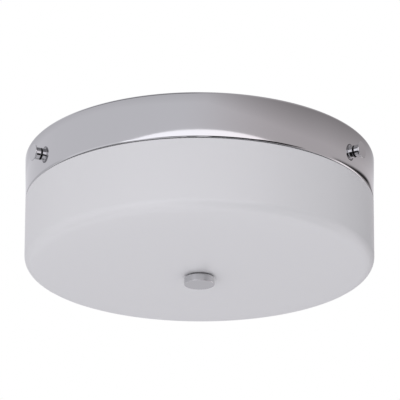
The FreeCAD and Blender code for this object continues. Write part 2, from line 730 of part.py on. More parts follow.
def pan_skirt():
    """The chrome ring: a turned-in top flange, a slightly tapered wall and a rolled lower rim."""
    body = new_body("pan_skirt")
    thick = size.pan_sheet
    section = new_sketch(body, "skirt_section", "XZ_Plane")
    outline(section, [
        (size.pan_flange_inner, pan_top),
        (size.pan_radius, pan_top, size.pan_top_bend),
        (size.pan_foot_radius, seam, size.pan_rim_bend),
        (size.pan_rim_inner, seam),
        (size.pan_rim_inner, seam + thick),
        (size.pan_foot_radius - thick, seam + thick, size.pan_rim_bend - thick),
        (size.pan_radius - thick, pan_top - thick, size.pan_top_bend - thick),
        (size.pan_flange_inner, pan_top - thick),
    ])
    revolve(body, section, "skirt_ring")
    stud = new_sketch(body, "stud_hole_outline", "XZ_Plane")
    circle(stud, 0, -size.knob_height, size.stud_hole_radius)
    stud_hole = pocket(body, stud, size.pan_radius + size.past, "stud_hole")
    notch = new_sketch(body, "notch_outline")
    flange_end = size.pan_radius - size.pan_top_bend
    deep = flange_end - size.pan_flange_inner
    rectangle(notch, as_size(0), flange_end - deep, size.notch_width, deep * 2)
    flange_notch = pocket(body, notch, size.foam_height + thick + size.past, "flange_notch")
    ring_pattern(body, [stud_hole, flange_notch], len(LUG_ANGLES), "skirt_openings")
    return body


def glass_shade():
    """Opal glass: a drum with a rounded corner, a gently bulging base and one centre hole."""
    body = new_body("glass_shade")
    section = new_sketch(body, "glass_section", "XZ_Plane")
    foot, belly, top = size.glass_foot_radius, size.glass_belly, glass_top
    base_radius = (foot * foot + belly * belly) / (belly * 2)
    base_centre = glass_bottom + base_radius
    up = Vector(0, 0, 1)
    sides = []
    rules = []

    # The outer side, then the inner one: each is a wall, a bend tangent to it and a shallow base arc.
    for inset in (as_size(0), size.glass_wall):
        rim = Vector((size.glass_radius - inset).number, top.number, 0)
        corner = size.glass_corner - inset
        foot_corner = Vector((foot - inset).number, (inset - size.glass_foot_height).number, 0)
        wall_end = foot_corner + Vector(0, corner.number, 0)
        bend_centre = wall_end - Vector(corner.number, 0, 0)
        wide = base_radius - inset
        lean_in = math.asin(size.glass_hole_radius.number / wide.number)
        lean_out = math.asin(bend_centre.x / wide.number)
        wall = section.addGeometry(Part.LineSegment(rim, wall_end), False)
        bend_circle = Part.Circle(bend_centre, up, corner.number)
        bend = section.addGeometry(Part.ArcOfCircle(bend_circle, -math.pi / 2, 0), False)
        base_circle = Part.Circle(Vector(0, base_centre.number, 0), up, wide.number)
        base_arc = Part.ArcOfCircle(base_circle, lean_in - math.pi / 2, lean_out - math.pi / 2)
        base = section.addGeometry(base_arc, False)
        rules += at(wall, START, size.glass_radius - inset, top)
        rules += at(base, CENTRE, 0, base_centre)
        rules += [
            (Sketcher.Constraint("Tangent", wall, END, bend, END), None),
            (Sketcher.Constraint("Tangent", base, END, bend, START), None),
            (Sketcher.Constraint("Radius", bend, corner.number), corner),
            (Sketcher.Constraint("Radius", base, wide.number), wide),
        ]
        sides.append((wall, base))
    (outer_wall, outer_base), (inner_wall, inner_base) = sides
    low = Vector(foot.number, -size.glass_foot_height.number, 0)
    foot_point = section.addGeometry(Part.Point(low), True)
    rules += at(foot_point, START, foot, -size.glass_foot_height)
    hole, thick = size.glass_hole_radius, size.glass_wall
    hole_low = Vector(hole.number, glass_bottom.number, 0)
    hole_wall = section.addGeometry(Part.LineSegment(hole_low, hole_low + Vector(0, thick.number, 0)), False)
    rim_out = Vector(size.glass_radius.number, top.number, 0)
    rim_face = section.addGeometry(Part.LineSegment(rim_out, rim_out - Vector(thick.number, 0, 0)), False)
    rules += [
        (Sketcher.Constraint("PointOnObject", foot_point, START, outer_wall), None),
        (Sketcher.Constraint("Parallel", outer_wall, inner_wall), None),
        (Sketcher.Constraint("DistanceX", ORIGIN, START, outer_base, START, hole.number), hole),
        (Sketcher.Constraint("Vertical", hole_wall), None),
        (Sketcher.Constraint("Coincident", hole_wall, START, outer_base, START), None),
        (Sketcher.Constraint("Coincident", hole_wall, END, inner_base, START), None),
        (Sketcher.Constraint("Coincident", rim_face, START, outer_wall, START), None),
        (Sketcher.Constraint("Coincident", rim_face, END, inner_wall, START), None),
    ]
    constrain(section, rules)
    blown = revolve(body, section, "blown_drum")

    def is_rim(edge, middle):
        return abs(middle.z - top.number) < NEAR

    round_edges(body, blown, size.glass_edge, "melted_rim", is_rim)
    return body


def finial():
    """A turned disc with a boss that passes through the glass and is tapped for the rod."""
    body = new_body("finial")
    section = new_sketch(body, "finial_section", "XZ_Plane")
    boss_top = finial_top + size.finial_boss_length
    outline(section, [
        (0, finial_bottom),
        (size.finial_radius, finial_bottom, size.finial_edge),
        (size.finial_radius, finial_top, size.finial_edge),
        (size.finial_boss_radius, finial_top),
        (size.finial_boss_radius, boss_top),
        (size.rod_bore_radius, boss_top),
        (size.rod_bore_radius, finial_bottom + size.finial_face_thick),
        (0, finial_bottom + size.finial_face_thick),
    ])
    revolve(body, section, "finial_turning")
    return body


def glass_bushing():
    """Silicone: a sleeve in the glass's hole with a flange inside the drum."""
    body = new_body("glass_bushing")
    section = new_sketch(body, "bushing_section", "XZ_Plane")
    sleeve = size.glass_hole_radius - size.bushing_play
    flange_bottom = bushing_top - size.bushing_flange_thick
    outline(section, [
        (size.boss_clear_radius, glass_bottom + size.bushing_play),
        (sleeve, glass_bottom + size.bushing_play),
        (sleeve, flange_bottom),
        (size.bushing_flange_radius, flange_bottom),
        (size.bushing_flange_radius, bushing_top),
        (size.boss_clear_radius, bushing_top),
    ])
    revolve(body, section, "bushing_moulding")
    return body


def centre_rod():
    """Threaded rod from the dish to the finial."""
    body = new_body("centre_rod")
    section = new_sketch(body, "rod_section", "XZ_Plane")
    chamfer = size.rod_chamfer
    outline(section, [
        (0, -size.rod_end),
        (size.rod_radius - chamfer, -size.rod_end),
        (size.rod_radius, -size.rod_end + chamfer),
        (size.rod_radius, -size.rod_top - chamfer),
        (size.rod_radius - chamfer, -size.rod_top),
        (0, -size.rod_top),
    ])
    revolve(body, section, "rod_turning")
    return body


def rod_fixings():
    """The nuts and washers that clamp the rod to the dish, and the pair that sets the glass."""
    upper = hex_nut("rod_nut_upper", size.rod_nut_across, size.rod_bore_radius, size.upper_nut_thick)
    put(upper, 0, 0, dish_floor)
    flat_bottom = dish_underside - size.flat_washer_thick
    spring_bottom = flat_bottom - size.spring_washer_thick
    flat = washer("flat_washer", size.flat_washer_radius, size.washer_bore_radius,
                  size.flat_washer_thick, flat_bottom)
    spring = washer("spring_washer", size.spring_washer_radius, size.washer_bore_radius,
                    size.spring_washer_thick, spring_bottom)
    face_down = Rotation(Vector(1, 0, 0), 180)
    lower = hex_nut("rod_nut_lower", size.rod_nut_across, size.rod_bore_radius, size.lower_nut_thick)
    put(lower, 0, 0, spring_bottom, face_down)
    stop_disc = washer("stop_washer", size.stop_washer_radius, size.washer_bore_radius,
                       size.flat_washer_thick, stop_washer_bottom)
    stop = hex_nut("stop_nut", size.rod_nut_across, size.rod_bore_radius, size.lower_nut_thick)
    put(stop, 0, 0, stop_washer_bottom + size.flat_washer_thick)
    return [upper, group("rod_washers", [flat, spring]), lower, stop_disc, stop]


def cable_grommet():
    """Rubber: a groove holds it in the plate's cable hole."""
    body = new_body("cable_grommet")
    section = new_sketch(body, "grommet_section", "XZ_Plane")
    plate_top = -size.cable_boss_depth
    plate_bottom = plate_top - size.plate_sheet
    top = plate_top + size.grommet_flange_thick
    bottom = plate_bottom - size.grommet_collar
    outline(section, [
        (size.grommet_bore_radius, bottom),
        (size.grommet_flange_radius - size.grommet_collar, bottom),
        (size.grommet_flange_radius, plate_bottom),
        (size.grommet_groove_radius, plate_bottom),
        (size.grommet_groove_radius, plate_top),
        (size.grommet_flange_radius, plate_top),
        (size.grommet_flange_radius, top),
        (size.grommet_bore_radius, top),
    ])
    revolve(body, section, "grommet_moulding")
    boss_x, boss_y = round_the_middle(CABLE_ANGLE, size.cable_boss_place, 0)
    return put(body, boss_x, boss_y, 0)


# ---------------------------------------------------------------------------------------------------------
# Knobs
# ---------------------------------------------------------------------------------------------------------


def knob_pieces(number, angle):
    """A rubber washer on the skirt, the turned knob on it, and the stud that reaches the lug's nut."""
    seat, height = size.knob_seat, size.knob_height
    rubber = new_body(f"knob_washer_{number}")
    rings = new_sketch(rubber, f"knob_washer_outline_{number}")
    circle(rings, 0, 0, size.knob_washer_radius)
    circle(rings, 0, 0, size.knob_washer_hole)
    pad(rubber, rings, size.knob_washer_thick, f"knob_washer_disc_{number}")
    put_outwards(rubber, angle, seat, height)

    # Drawn from the knob's own foot; the flare's hollow curve is the rounded inner corner.
    knob = new_body(f"side_knob_{number}")
    section = new_sketch(knob, f"knob_section_{number}", "XZ_Plane")
    outline(section, [
        (size.stud_bore_radius, 0),
        (size.knob_neck_radius, 0, size.knob_edge),
        (size.knob_neck_radius, size.knob_length - size.knob_lip, size.knob_flare_curve),
        (size.knob_flare_radius, size.knob_length - size.knob_lip),
        (size.knob_flare_radius, size.knob_length, size.knob_edge),
        (0, size.knob_length),
        (0, size.knob_socket_depth),
        (size.stud_bore_radius, size.knob_socket_depth),
    ])
    revolve(knob, section, f"knob_turning_{number}")
    foot = seat + size.knob_washer_thick
    put_outwards(knob, angle, foot, height)

    stud = new_body(f"knob_stud_{number}")
    section = new_sketch(stud, f"stud_section_{number}", "XZ_Plane")
    inner = size.stud_tip - foot
    outer = size.knob_socket_depth - size.stud_chamfer
    narrow = size.stud_radius - size.stud_chamfer
    outline(section, [
        (0, inner),
        (narrow, inner),
        (size.stud_radius, inner + size.stud_chamfer),
        (size.stud_radius, outer - size.stud_chamfer),
        (narrow, outer),
        (0, outer),
    ])
    revolve(stud, section, f"stud_turning_{number}")
    put_outwards(stud, angle, foot, height)
    return [rubber, knob, stud]


def lug_nuts():
    """A nut welded to the inner face of each lug."""
    nuts = []
    for number, angle in enumerate(LUG_ANGLES, 1):
        nut = hex_nut(f"lug_nut_{number}", size.lug_nut_across, size.stud_bore_radius, size.lug_nut_thick)
        across, along = round_the_middle(angle, size.lug_face - size.plate_sheet, 0)
        inwards = Rotation(Vector(0, 0, 1), angle) * OUTWARDS * Rotation(Vector(0, 1, 0), 180)
        nuts.append(put(nut, across, along, -size.knob_height, inwards))
    return group("lug_nuts", nuts)


# ---------------------------------------------------------------------------------------------------------
# Lampholders and lamps
# ---------------------------------------------------------------------------------------------------------


def holder_bracket(number, angle):
    """Folded steel: a foot on the plate and an upright with a window for the leads."""
    body = new_body(f"holder_bracket_{number}")
    thick = size.bracket_sheet
    roof = size.lamp_height - size.plate_sheet
    fold = new_sketch(body, f"bracket_fold_{number}", "YZ_Plane")
    outline(fold, [
        (roof, -size.bracket_foot),
        (roof, 0, size.bracket_bend),
        (-size.bracket_below, 0),
        (-size.bracket_below, -thick),
        (roof - thick, -thick, size.bracket_bend - thick),
        (roof - thick, -size.bracket_foot),
    ])
    strip = pad(body, fold, size.bracket_width, f"bracket_strip_{number}", both_ways=True)

    def is_free_corner(edge, middle):
        short = abs(edge.Length - thick.number) < NEAR
        return short and abs(abs(middle.x) - size.bracket_width.number / 2) < NEAR

    round_edges(body, strip, size.bracket_corner, f"bracket_corners_{number}", is_free_corner)
    window = new_sketch(body, f"bracket_window_outline_{number}")
    height = size.bracket_window_height
    rectangle(window, as_size(0), as_size(0), size.bracket_window_width, height, height * size.oval_share)
    for side in (-1, 1):
        circle(window, size.holder_screw_side * side, 0, size.holder_tap_radius)
    pocket(body, window, thick * 2, f"bracket_window_{number}", both_ways=True)
    foot = new_sketch(body, f"foot_holes_outline_{number}", "XZ_Plane")
    for side in (-1, 1):
        circle(foot, size.foot_screw_side * side, -size.foot_screw_back, size.foot_hole_radius)
    pocket(body, foot, size.lamp_height, f"foot_holes_{number}")
    return put_outwards(body, angle, size.holder_place, size.lamp_height)


def lampholder(number, angle):
    """Ceramic: an oval flange and a barrel, with a recess for the lamp's base and a bore for each pin."""
    body = new_body(f"lampholder_{number}")
    flange = new_sketch(body, f"holder_flange_outline_{number}")
    corner = size.holder_depth * size.oval_share
    rectangle(flange, as_size(0), as_size(0), size.holder_width, size.holder_depth, corner)
    pad(body, flange, size.holder_flange, f"holder_flange_{number}")
    barrel = new_sketch(body, f"holder_barrel_outline_{number}")
    circle(barrel, 0, 0, size.holder_barrel)
    shape = pad(body, barrel, size.holder_length, f"holder_barrel_{number}")

    def is_mouth(edge, middle):
        return abs(middle.z - size.holder_length.number) < NEAR

    round_edges(body, shape, size.holder_edge, f"holder_mouth_{number}", is_mouth)
    recess = new_sketch(body, f"holder_recess_outline_{number}", raised=size.holder_length)
    rectangle(recess, as_size(0), as_size(0), size.mouth_width, size.mouth_height,
              size.mouth_height * size.oval_share)
    pocket(body, recess, size.mouth_depth, f"holder_recess_{number}")
    bores = new_sketch(body, f"holder_bores_outline_{number}")
    for side in (-1, 1):
        circle(bores, size.pin_pitch * side / 2, 0, size.pin_bore_radius)
        circle(bores, size.holder_screw_side * side, 0, size.holder_hole_radius)
    pocket(body, bores, size.holder_length - size.mouth_depth, f"holder_bores_{number}", upwards=True)
    return put_outwards(body, angle, size.holder_place, size.lamp_height)


def holder_contacts():
    """Bronze sleeves in the lampholders' bores: a solid back for the lead, a slot for the pin."""
    contacts = []
    for number, angle in enumerate(LAMP_ANGLES, 1):
        for side in (-1, 1):
            name = f"contact_{number}_{'left' if side > 0 else 'right'}"
            aside = size.pin_pitch * side / 2
            start = size.holder_place + size.contact_start
            sleeve = cylinder(name + "_sleeve", size.contact_radius, size.contact_length)
            put_outwards(sleeve, angle, start, size.lamp_height, aside)
            slot = box(name + "_slot", size.contact_slot_width, size.contact_slot_height, size.contact_length)
            put_outwards(slot, angle, start + size.contact_back,
                         size.lamp_height + size.contact_slot_height / 2,
                         aside - size.contact_slot_width / 2)
            contacts.append(cut(name, sleeve, slot))
    return group("holder_contacts", contacts)


def holder_screws():
    """Two screws hold each lampholder to its bracket."""
    screws = []
    for number, angle in enumerate(LAMP_ANGLES, 1):
        for side in (-1, 1):
            name = f"holder_screw_{number}_{'left' if side > 0 else 'right'}"
            length = size.holder_flange + size.holder_screw_tail
            piece = screw(name, size.holder_screw_radius, length,
                          size.holder_screw_head, size.holder_screw_head_height)
            across, along = round_the_middle(angle, size.holder_place + size.holder_flange,
                                             size.holder_screw_side * side)
            inwards = Rotation(Vector(0, 0, 1), angle) * OUTWARDS * Rotation(Vector(0, 1, 0), 180)
            screws.append(put(piece, across, along, -size.lamp_height, inwards))
    return group("holder_screws", screws)


def bracket_screws():
    """Two screws hold each bracket's foot to the plate; their tips stay below the ceiling."""
    screws = []
    head_level = -size.plate_sheet - size.bracket_sheet
    for number, angle in enumerate(LAMP_ANGLES, 1):
        for side in (-1, 1):
            name = f"bracket_screw_{number}_{'left' if side > 0 else 'right'}"
            piece = screw(name, size.screw_radius, -head_level - size.tip_gap,
                          size.screw_head_radius, size.screw_head_height)
            distance = size.holder_place - size.foot_screw_back
            screws.append(put_upright(piece, angle, distance, head_level, size.foot_screw_side * side))
    return group("bracket_screws", screws)


def lamp_pieces(number, angle):
    """A push-in lamp: a base with a tongue and a collar, two flattened pins and a glass capsule."""
    tongue_start = size.holder_length - size.mouth_depth + size.base_play
    collar_start = size.holder_length + size.base_play
    capsule_start = collar_start + size.collar_length

    base = new_body(f"lamp_base_{number}")
    tongue = new_sketch(base, f"tongue_outline_{number}", raised=tongue_start)
    tongue_width = size.mouth_width - size.base_play * 2
    tongue_height = size.mouth_height - size.base_play * 2
    rectangle(tongue, as_size(0), as_size(0), tongue_width, tongue_height, tongue_height * size.oval_share)
    pad(base, tongue, capsule_start - tongue_start, f"tongue_{number}")
    collar = new_sketch(base, f"collar_section_{number}", "XZ_Plane")
    outline(collar, [
        (0, collar_start),
        (size.collar_radius, collar_start, size.collar_edge),
        (size.collar_radius, capsule_start, size.collar_edge),
        (0, capsule_start),
    ])
    revolve(base, collar, f"collar_{number}")
    put_outwards(base, angle, size.holder_place, size.lamp_height)

    glass = new_body(f"lamp_capsule_{number}")
    section = new_sketch(glass, f"capsule_section_{number}", "XZ_Plane")
    tip = capsule_start + size.capsule_length
    wall, radius, flat = size.capsule_wall, size.capsule_radius, size.capsule_flat
    outline(section, [
        (radius - wall, capsule_start),
        (radius, capsule_start),
        (radius, tip, radius - flat),
        (0, tip),
        (0, tip - wall),
        (radius - wall, tip - wall, radius - wall - flat),
    ])
    revolve(glass, section, f"capsule_blowing_{number}")
    put_outwards(glass, angle, size.holder_place, size.lamp_height)

    pins = []
    for side in (-1, 1):
        name = f"pin_{number}_{'left' if side > 0 else 'right'}"
        pin = new_body(name)
        shape = new_sketch(pin, name + "_outline", raised=tongue_start - size.pin_length)
        rectangle(shape, size.pin_pitch * side / 2, as_size(0), size.pin_width, size.pin_thick,
                  size.pin_thick * size.oval_share)
        pad(pin, shape, size.pin_length, name + "_loop")
        pins.append(put_outwards(pin, angle, size.holder_place, size.lamp_height))
    return [base, glass, group(f"lamp_pins_{number}", pins)]


# ---------------------------------------------------------------------------------------------------------
# Terminal block, earth and leads
# ---------------------------------------------------------------------------------------------------------


def terminal_block():
    """Moulded block with three tunnels, and two towers for the clamp screws of each."""
    body = new_body("terminal_block")
    footprint = new_sketch(body, "block_outline")
    rectangle(footprint, as_size(0), as_size(0), size.block_length, size.block_width, size.block_corner)
    pad(body, footprint, size.block_height, "block", downwards=True)
    towers = new_sketch(body, "towers_outline", raised=-size.block_height)
    screws = new_sketch(body, "clamp_bores_outline", raised=-size.block_height - size.tower_height)
    fixings = new_sketch(body, "block_holes_outline")
    tunnels = new_sketch(body, "tunnels_outline", "XZ_Plane")
    for pole in POLES:
        for side in (-1, 1):
            circle(towers, size.pole_pitch * pole, size.clamp_pitch * side / 2, size.tower_radius)
            circle(screws, size.pole_pitch * pole, size.clamp_pitch * side / 2, size.tower_bore_radius)
        rectangle(tunnels, size.pole_pitch * pole, size.plate_sheet - size.tunnel_depth,
                  size.tunnel_width, size.tunnel_height, size.insert_play * 2)
    for side in (-1, 1):
        circle(fixings, size.pole_pitch * side / 2, 0, size.block_hole_radius)
    pad(body, towers, size.tower_height, "towers", downwards=True)
    pocket(body, tunnels, size.block_width * 2, "tunnels", both_ways=True)
    drop = size.tunnel_depth + size.tunnel_height / 2 - size.plate_sheet
    bore_depth = size.block_height + size.tower_height - drop
    pocket(body, screws, bore_depth + size.past, "clamp_bores", upwards=True)
    pocket(body, fixings, size.block_height * 2, "block_holes", both_ways=True)
    return put_upright(body, BLOCK_ANGLE, size.block_place, -size.plate_sheet)


def terminal_inserts():
    """Brass: a slot for the wires and two tapped holes, one insert in each tunnel."""
    inserts = []
    for number, pole in enumerate(POLES, 1):
        body = new_body(f"terminal_insert_{number}")
        section = new_sketch(body, f"insert_outline_{number}", "XZ_Plane")
        width = size.tunnel_width - size.insert_play * 2
        height = size.tunnel_height - size.insert_play * 2
        rectangle(section, as_size(0), as_size(0), width, height)
        rectangle(section, as_size(0), as_size(0), size.insert_slot_width, size.insert_slot_height)
        pad(body, section, size.insert_length, f"insert_bar_{number}", both_ways=True)
        taps = new_sketch(body, f"insert_taps_outline_{number}", raised=-height)
        for side in (-1, 1):
            circle(taps, 0, size.clamp_pitch * side / 2, size.holder_tap_radius)
        pocket(body, taps, height, f"insert_taps_{number}", upwards=True)
        inserts.append(put_upright(body, BLOCK_ANGLE, size.block_place, -size.tunnel_depth,
                                   size.pole_pitch * pole))
    return group("terminal_inserts", inserts)


def terminal_screws():
    """Six clamp screws, sunk in their towers."""
    screws = []
    mouth = size.plate_sheet + size.block_height + size.tower_height
    head_level = size.clamp_head_height - mouth + size.clamp_sunk
    slot_floor = -size.tunnel_depth - size.insert_slot_height / 2
    for number, pole in enumerate(POLES, 1):
        for side in (-1, 1):
            name = f"clamp_screw_{number}_{'outer' if side > 0 else 'inner'}"
            piece = screw(name, size.clamp_radius, slot_floor - head_level,
                          size.clamp_head_radius, size.clamp_head_height)
            distance = size.block_place + size.clamp_pitch * side / 2
            screws.append(put_upright(piece, BLOCK_ANGLE, distance, head_level, size.pole_pitch * pole))
    return group("terminal_screws", screws)


def terminal_fixing_screws():
    """Two long screws hold the block to the plate."""
    screws = []
    head_level = -size.plate_sheet - size.block_height
    for side in (-1, 1):
        name = f"block_screw_{'left' if side > 0 else 'right'}"
        piece = screw(name, size.block_screw_radius, -head_level - size.tip_gap,
                      size.block_screw_head, size.block_screw_head_height)
        screws.append(put_upright(piece, BLOCK_ANGLE, size.block_place, head_level,
                                  size.pole_pitch * side / 2))
    return group("terminal_fixing_screws", screws)


def earth_pieces():
    """A screw clamps the earth lead's tag to bare plate, with a toothed washer under its head."""
    tag = new_body("earth_tag")
    eye = new_sketch(tag, "tag_outline")
    circle(eye, 0, 0, size.earth_tag_radius)
    circle(eye, 0, 0, size.foot_hole_radius)
    pad(tag, eye, size.earth_tag_thick, "tag_eye", downwards=True)
    barrel = new_sketch(tag, "barrel_outline", "XZ_Plane", raised=-size.earth_barrel_end)
    circle(barrel, 0, -size.earth_barrel_radius - size.earth_barrel_drop, size.earth_barrel_radius)
    pad(tag, barrel, size.earth_barrel_end - size.earth_tag_radius + size.earth_barrel_lap, "tag_barrel")
    put_upright(tag, BLOCK_ANGLE, size.earth_place, -size.plate_sheet)

    level = -size.plate_sheet - size.earth_tag_thick - size.earth_washer_thick
    toothed = new_body("earth_washer")
    teeth = new_sketch(toothed, "washer_outline")
    circle(teeth, 0, 0, size.earth_washer_radius)
    circle(teeth, 0, 0, size.foot_hole_radius)
    pad(toothed, teeth, size.earth_washer_thick, "washer_disc")
    gap = new_sketch(toothed, "tooth_gap_outline")
    rectangle(gap, as_size(0), size.earth_washer_radius, size.tooth_gap_width, size.tooth_gap_depth)
    tooth_gap = pocket(toothed, gap, size.earth_washer_thick, "tooth_gap", upwards=True)
    ring_pattern(toothed, [tooth_gap], WASHER_TEETH, "teeth")
    put_upright(toothed, BLOCK_ANGLE, size.earth_place, level)

    earth = screw("earth_screw", size.screw_radius, -level - size.tip_gap,
                  size.screw_head_radius, size.screw_head_height)
    earth.Label = "earth_screw"
    put_upright(earth, BLOCK_ANGLE, size.earth_place, level)
    return [tag, toothed, earth]


def lead_clips():
    """Nylon: a hook with a peg that snaps into the plate, one for each stack of leads."""
    clips = []
    for side in (-1, 1):
        name = f"lead_clip_{'left' if side > 0 else 'right'}"
        body = new_body(name)
        section = new_sketch(body, name + "_outline", "XZ_Plane")
        half = size.clip_width / 2
        wall = size.clip_wall
        lip = wall / 2
        outline(section, [
            (-half, 0),
            (-half, -size.clip_depth),
            (half, -size.clip_depth),
            (half, -size.clip_depth + wall + lip),
            (half - wall / 2, -size.clip_depth + wall + lip),
            (half - wall / 2, -size.clip_depth + wall),
            (wall - half, -size.clip_depth + wall),
            (wall - half, -size.clip_roof),
            (half, -size.clip_roof),
            (half, 0),
        ])
        pad(body, section, size.clip_length, name + "_hook", both_ways=True)
        peg = new_sketch(body, name + "_peg_outline")
        circle(peg, 0, 0, size.clip_peg_radius)
        pad(body, peg, size.plate_sheet - size.tip_gap, name + "_peg")
        clips.append(put_upright(body, BLOCK_ANGLE, size.clip_place, -size.plate_sheet,
                                 size.pole_pitch * side))
    return group("lead_clips", clips)


def lead(route):
    """A tube along straight runs joined by tangent arcs, each arc as large as its two runs allow."""
    edges = []
    start = route[0]
    radii = []
    for before, corner, after in zip(route, route[1:], route[2:]):
        back, ahead = before - corner, after - corner
        half_turn = (math.pi - back.getAngle(ahead)) / 2
        reach = ARC_SHARE * min(back.Length, ahead.Length)
        radius = reach / math.tan(half_turn)
        radii.append(radius)
        back.normalize()
        ahead.normalize()
        inwards = (back + ahead).normalize()
        bend_start, bend_end = corner + back * reach, corner + ahead * reach
        bend_middle = corner + inwards * (radius / math.cos(half_turn) - radius)
        edges.append(Part.LineSegment(start, bend_start).toShape())
        edges.append(Part.Arc(bend_start, bend_middle, bend_end).toShape())
        start = bend_end
    edges.append(Part.LineSegment(start, route[-1]).toShape())
    path = Part.Wire(edges)
    radius = size.lead_radius.number
    section = Part.Wire(Part.Circle(route[0], route[1] - route[0], radius).toShape())
    tube = path.makePipeShell([section], True, False)
    expected = math.pi * radius * radius * path.Length
    print(f"lead {path.Length:.1f} mm, least bend {min(radii):.1f} mm, volume {tube.Volume / expected:.4f}")
    return tube


# Routes of the leads: distance towards the terminal block, distance to its left, depth below the ceiling.
# Each starts at a contact's back and ends in the block. The first is for the lamp to the block's left.
NEAR_ROUTE = [(24.4, 33.25, 38), (27, 22, 31), (37, 13.5, 21), (50, 11, 12.8), (61, 11, 11.2)]
CROSSING_ROUTE = [(16.6, 37.75, 38), (14, 24, 33.5), (20, 9.5, 26), (33, -2, 18.5),
                  (48, -9.5, 13), (60.5, -11, 11.3)]
FAR_ROUTE = [(-41, 4.5, 38), (-26, 10, 33.5), (-10, 18.5, 25), (8, 21.5, 15.5),
             (26, 17.5, 9), (43, 12, 7), (58, 11, 6.8)]
EARTH_ROUTE = [(72, 0, 9), (64, 0, 9), (56.5, 0, 3.4), (49, 0, 3.4)]
LEAD_END = 72.0
LOW_LEAD, MIDDLE_LEAD, HIGH_LEAD = 11.2, 9.0, 6.8


def on_plate(towards, left, depth):
    turn = Rotation(Vector(0, 0, 1), BLOCK_ANGLE)
    return turn.multVec(Vector(towards, left, -depth))


def lamp_lead(angle, aside, route, mirror, end_depth, lift):
    """A lead's whole route: from the contact, through the chosen points, to its pole of the block."""
    start_x, start_y = round_the_middle(angle, size.holder_place + size.contact_start, aside)
    points = [Vector(start_x.number, start_y.number, -size.lamp_height.number)]
    for index, (towards, left, depth) in enumerate(route):
        raised = lift if index > 0 else 0.0
        points.append(on_plate(towards, left * mirror, depth - raised))
    points.append(on_plate(LEAD_END, route[-1][1] * mirror, end_depth))
    return lead(points)


def lamp_leads():
    """Two leads for each lamp, to the outer two poles of the block."""
    half_pitch = size.pin_pitch / 2
    lift = LOW_LEAD - MIDDLE_LEAD
    left_lamp, far_lamp, right_lamp = LAMP_ANGLES
    tubes = {
        1: [lamp_lead(left_lamp, -half_pitch, NEAR_ROUTE, 1, LOW_LEAD, 0),
            lamp_lead(left_lamp, half_pitch, CROSSING_ROUTE, 1, LOW_LEAD, 0)],
        2: [lamp_lead(far_lamp, -half_pitch, FAR_ROUTE, 1, HIGH_LEAD, 0),
            lamp_lead(far_lamp, half_pitch, FAR_ROUTE, -1, HIGH_LEAD, 0)],
        3: [lamp_lead(right_lamp, half_pitch, NEAR_ROUTE, -1, MIDDLE_LEAD, lift),
            lamp_lead(right_lamp, -half_pitch, CROSSING_ROUTE, -1, MIDDLE_LEAD, lift)],
    }
    features = []
    for number, pair in tubes.items():
        feature = document.addObject("Part::Feature", f"lamp_leads_{number}")
        feature.Shape = Part.makeCompound(pair)
        feature.Label = f"lamp_leads_{number}"
        features.append(feature)
    earth = document.addObject("Part::Feature", "earth_lead")
    earth.Shape = lead([on_plate(*point) for point in EARTH_ROUTE])
    earth.Label = "earth_lead"
    return features + [earth]


# ---------------------------------------------------------------------------------------------------------
# The light, put together
# ---------------------------------------------------------------------------------------------------------

sub_parts = [mounting_plate(), ceiling_gasket(), pan_skirt(), glass_shade(), finial(), glass_bushing()]
sub_parts += [centre_rod(), cable_grommet(), lug_nuts()]
sub_parts += rod_fixings()
sub_parts.append(washer("glass_rim_seal", size.seal_outer, size.seal_inner, size.seal_thick, glass_top))
sub_parts.append(washer("finial_washer", size.finial_washer_radius, size.boss_clear_radius,
                        size.finial_washer_thick, finial_top))
for lug_number, lug_angle in enumerate(LUG_ANGLES, 1):
    sub_parts += knob_pieces(lug_number, lug_angle)
for lamp_number, lamp_angle in enumerate(LAMP_ANGLES, 1):
    sub_parts.append(holder_bracket(lamp_number, lamp_angle))
    sub_parts.append(lampholder(lamp_number, lamp_angle))
    sub_parts += lamp_pieces(lamp_number, lamp_angle)
sub_parts += [holder_contacts(), holder_screws(), bracket_screws()]
sub_parts += [terminal_block(), terminal_inserts(), terminal_screws(), terminal_fixing_screws()]
sub_parts += earth_pieces()
sub_parts.append(lead_clips())
sub_parts += lamp_leads()
document.recompute()

for thing in document.Objects:
    if "Invalid" in thing.State or "Error" in thing.State:
        raise RuntimeError(f"{thing.Name} failed: {thing.State}")
    if thing.TypeId in ("PartDesign::Pocket", "PartDesign::Groove"):
        removed = thing.BaseFeature.Shape.Volume - thing.Shape.Volume
        if removed < 0.01:
            raise RuntimeError(f"{thing.Name} cuts nothing")

os.makedirs("parts", exist_ok=True)
for sub_part in sub_parts:
    shape = sub_part.Shape
    if shape.isNull() or not shape.isValid() or not shape.Solids:
        raise RuntimeError(f"{sub_part.Label} has no valid solid")
for sub_part in sub_parts:
    sub_part.Shape.exportStep(f"parts/{sub_part.Label}.step")
print(f"{len(sub_parts)} sub-parts, {sum(len(part.Shape.Solids) for part in sub_parts)} solids")
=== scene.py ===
"""A flush mount ceiling light: chrome skirt, opal glass drum, chrome finial and three chrome side knobs.

Metres, but outlines are written in millimetres. Z points up and z = 0 is the ceiling, so the light hangs down
from there. The sections follow the light as it is put together: what goes on the ceiling, the wiring and the
lamps, the skirt, the glass, the finial and the knobs.
"""
import math

import bmesh
import bpy
from mathutils import Matrix, Vector


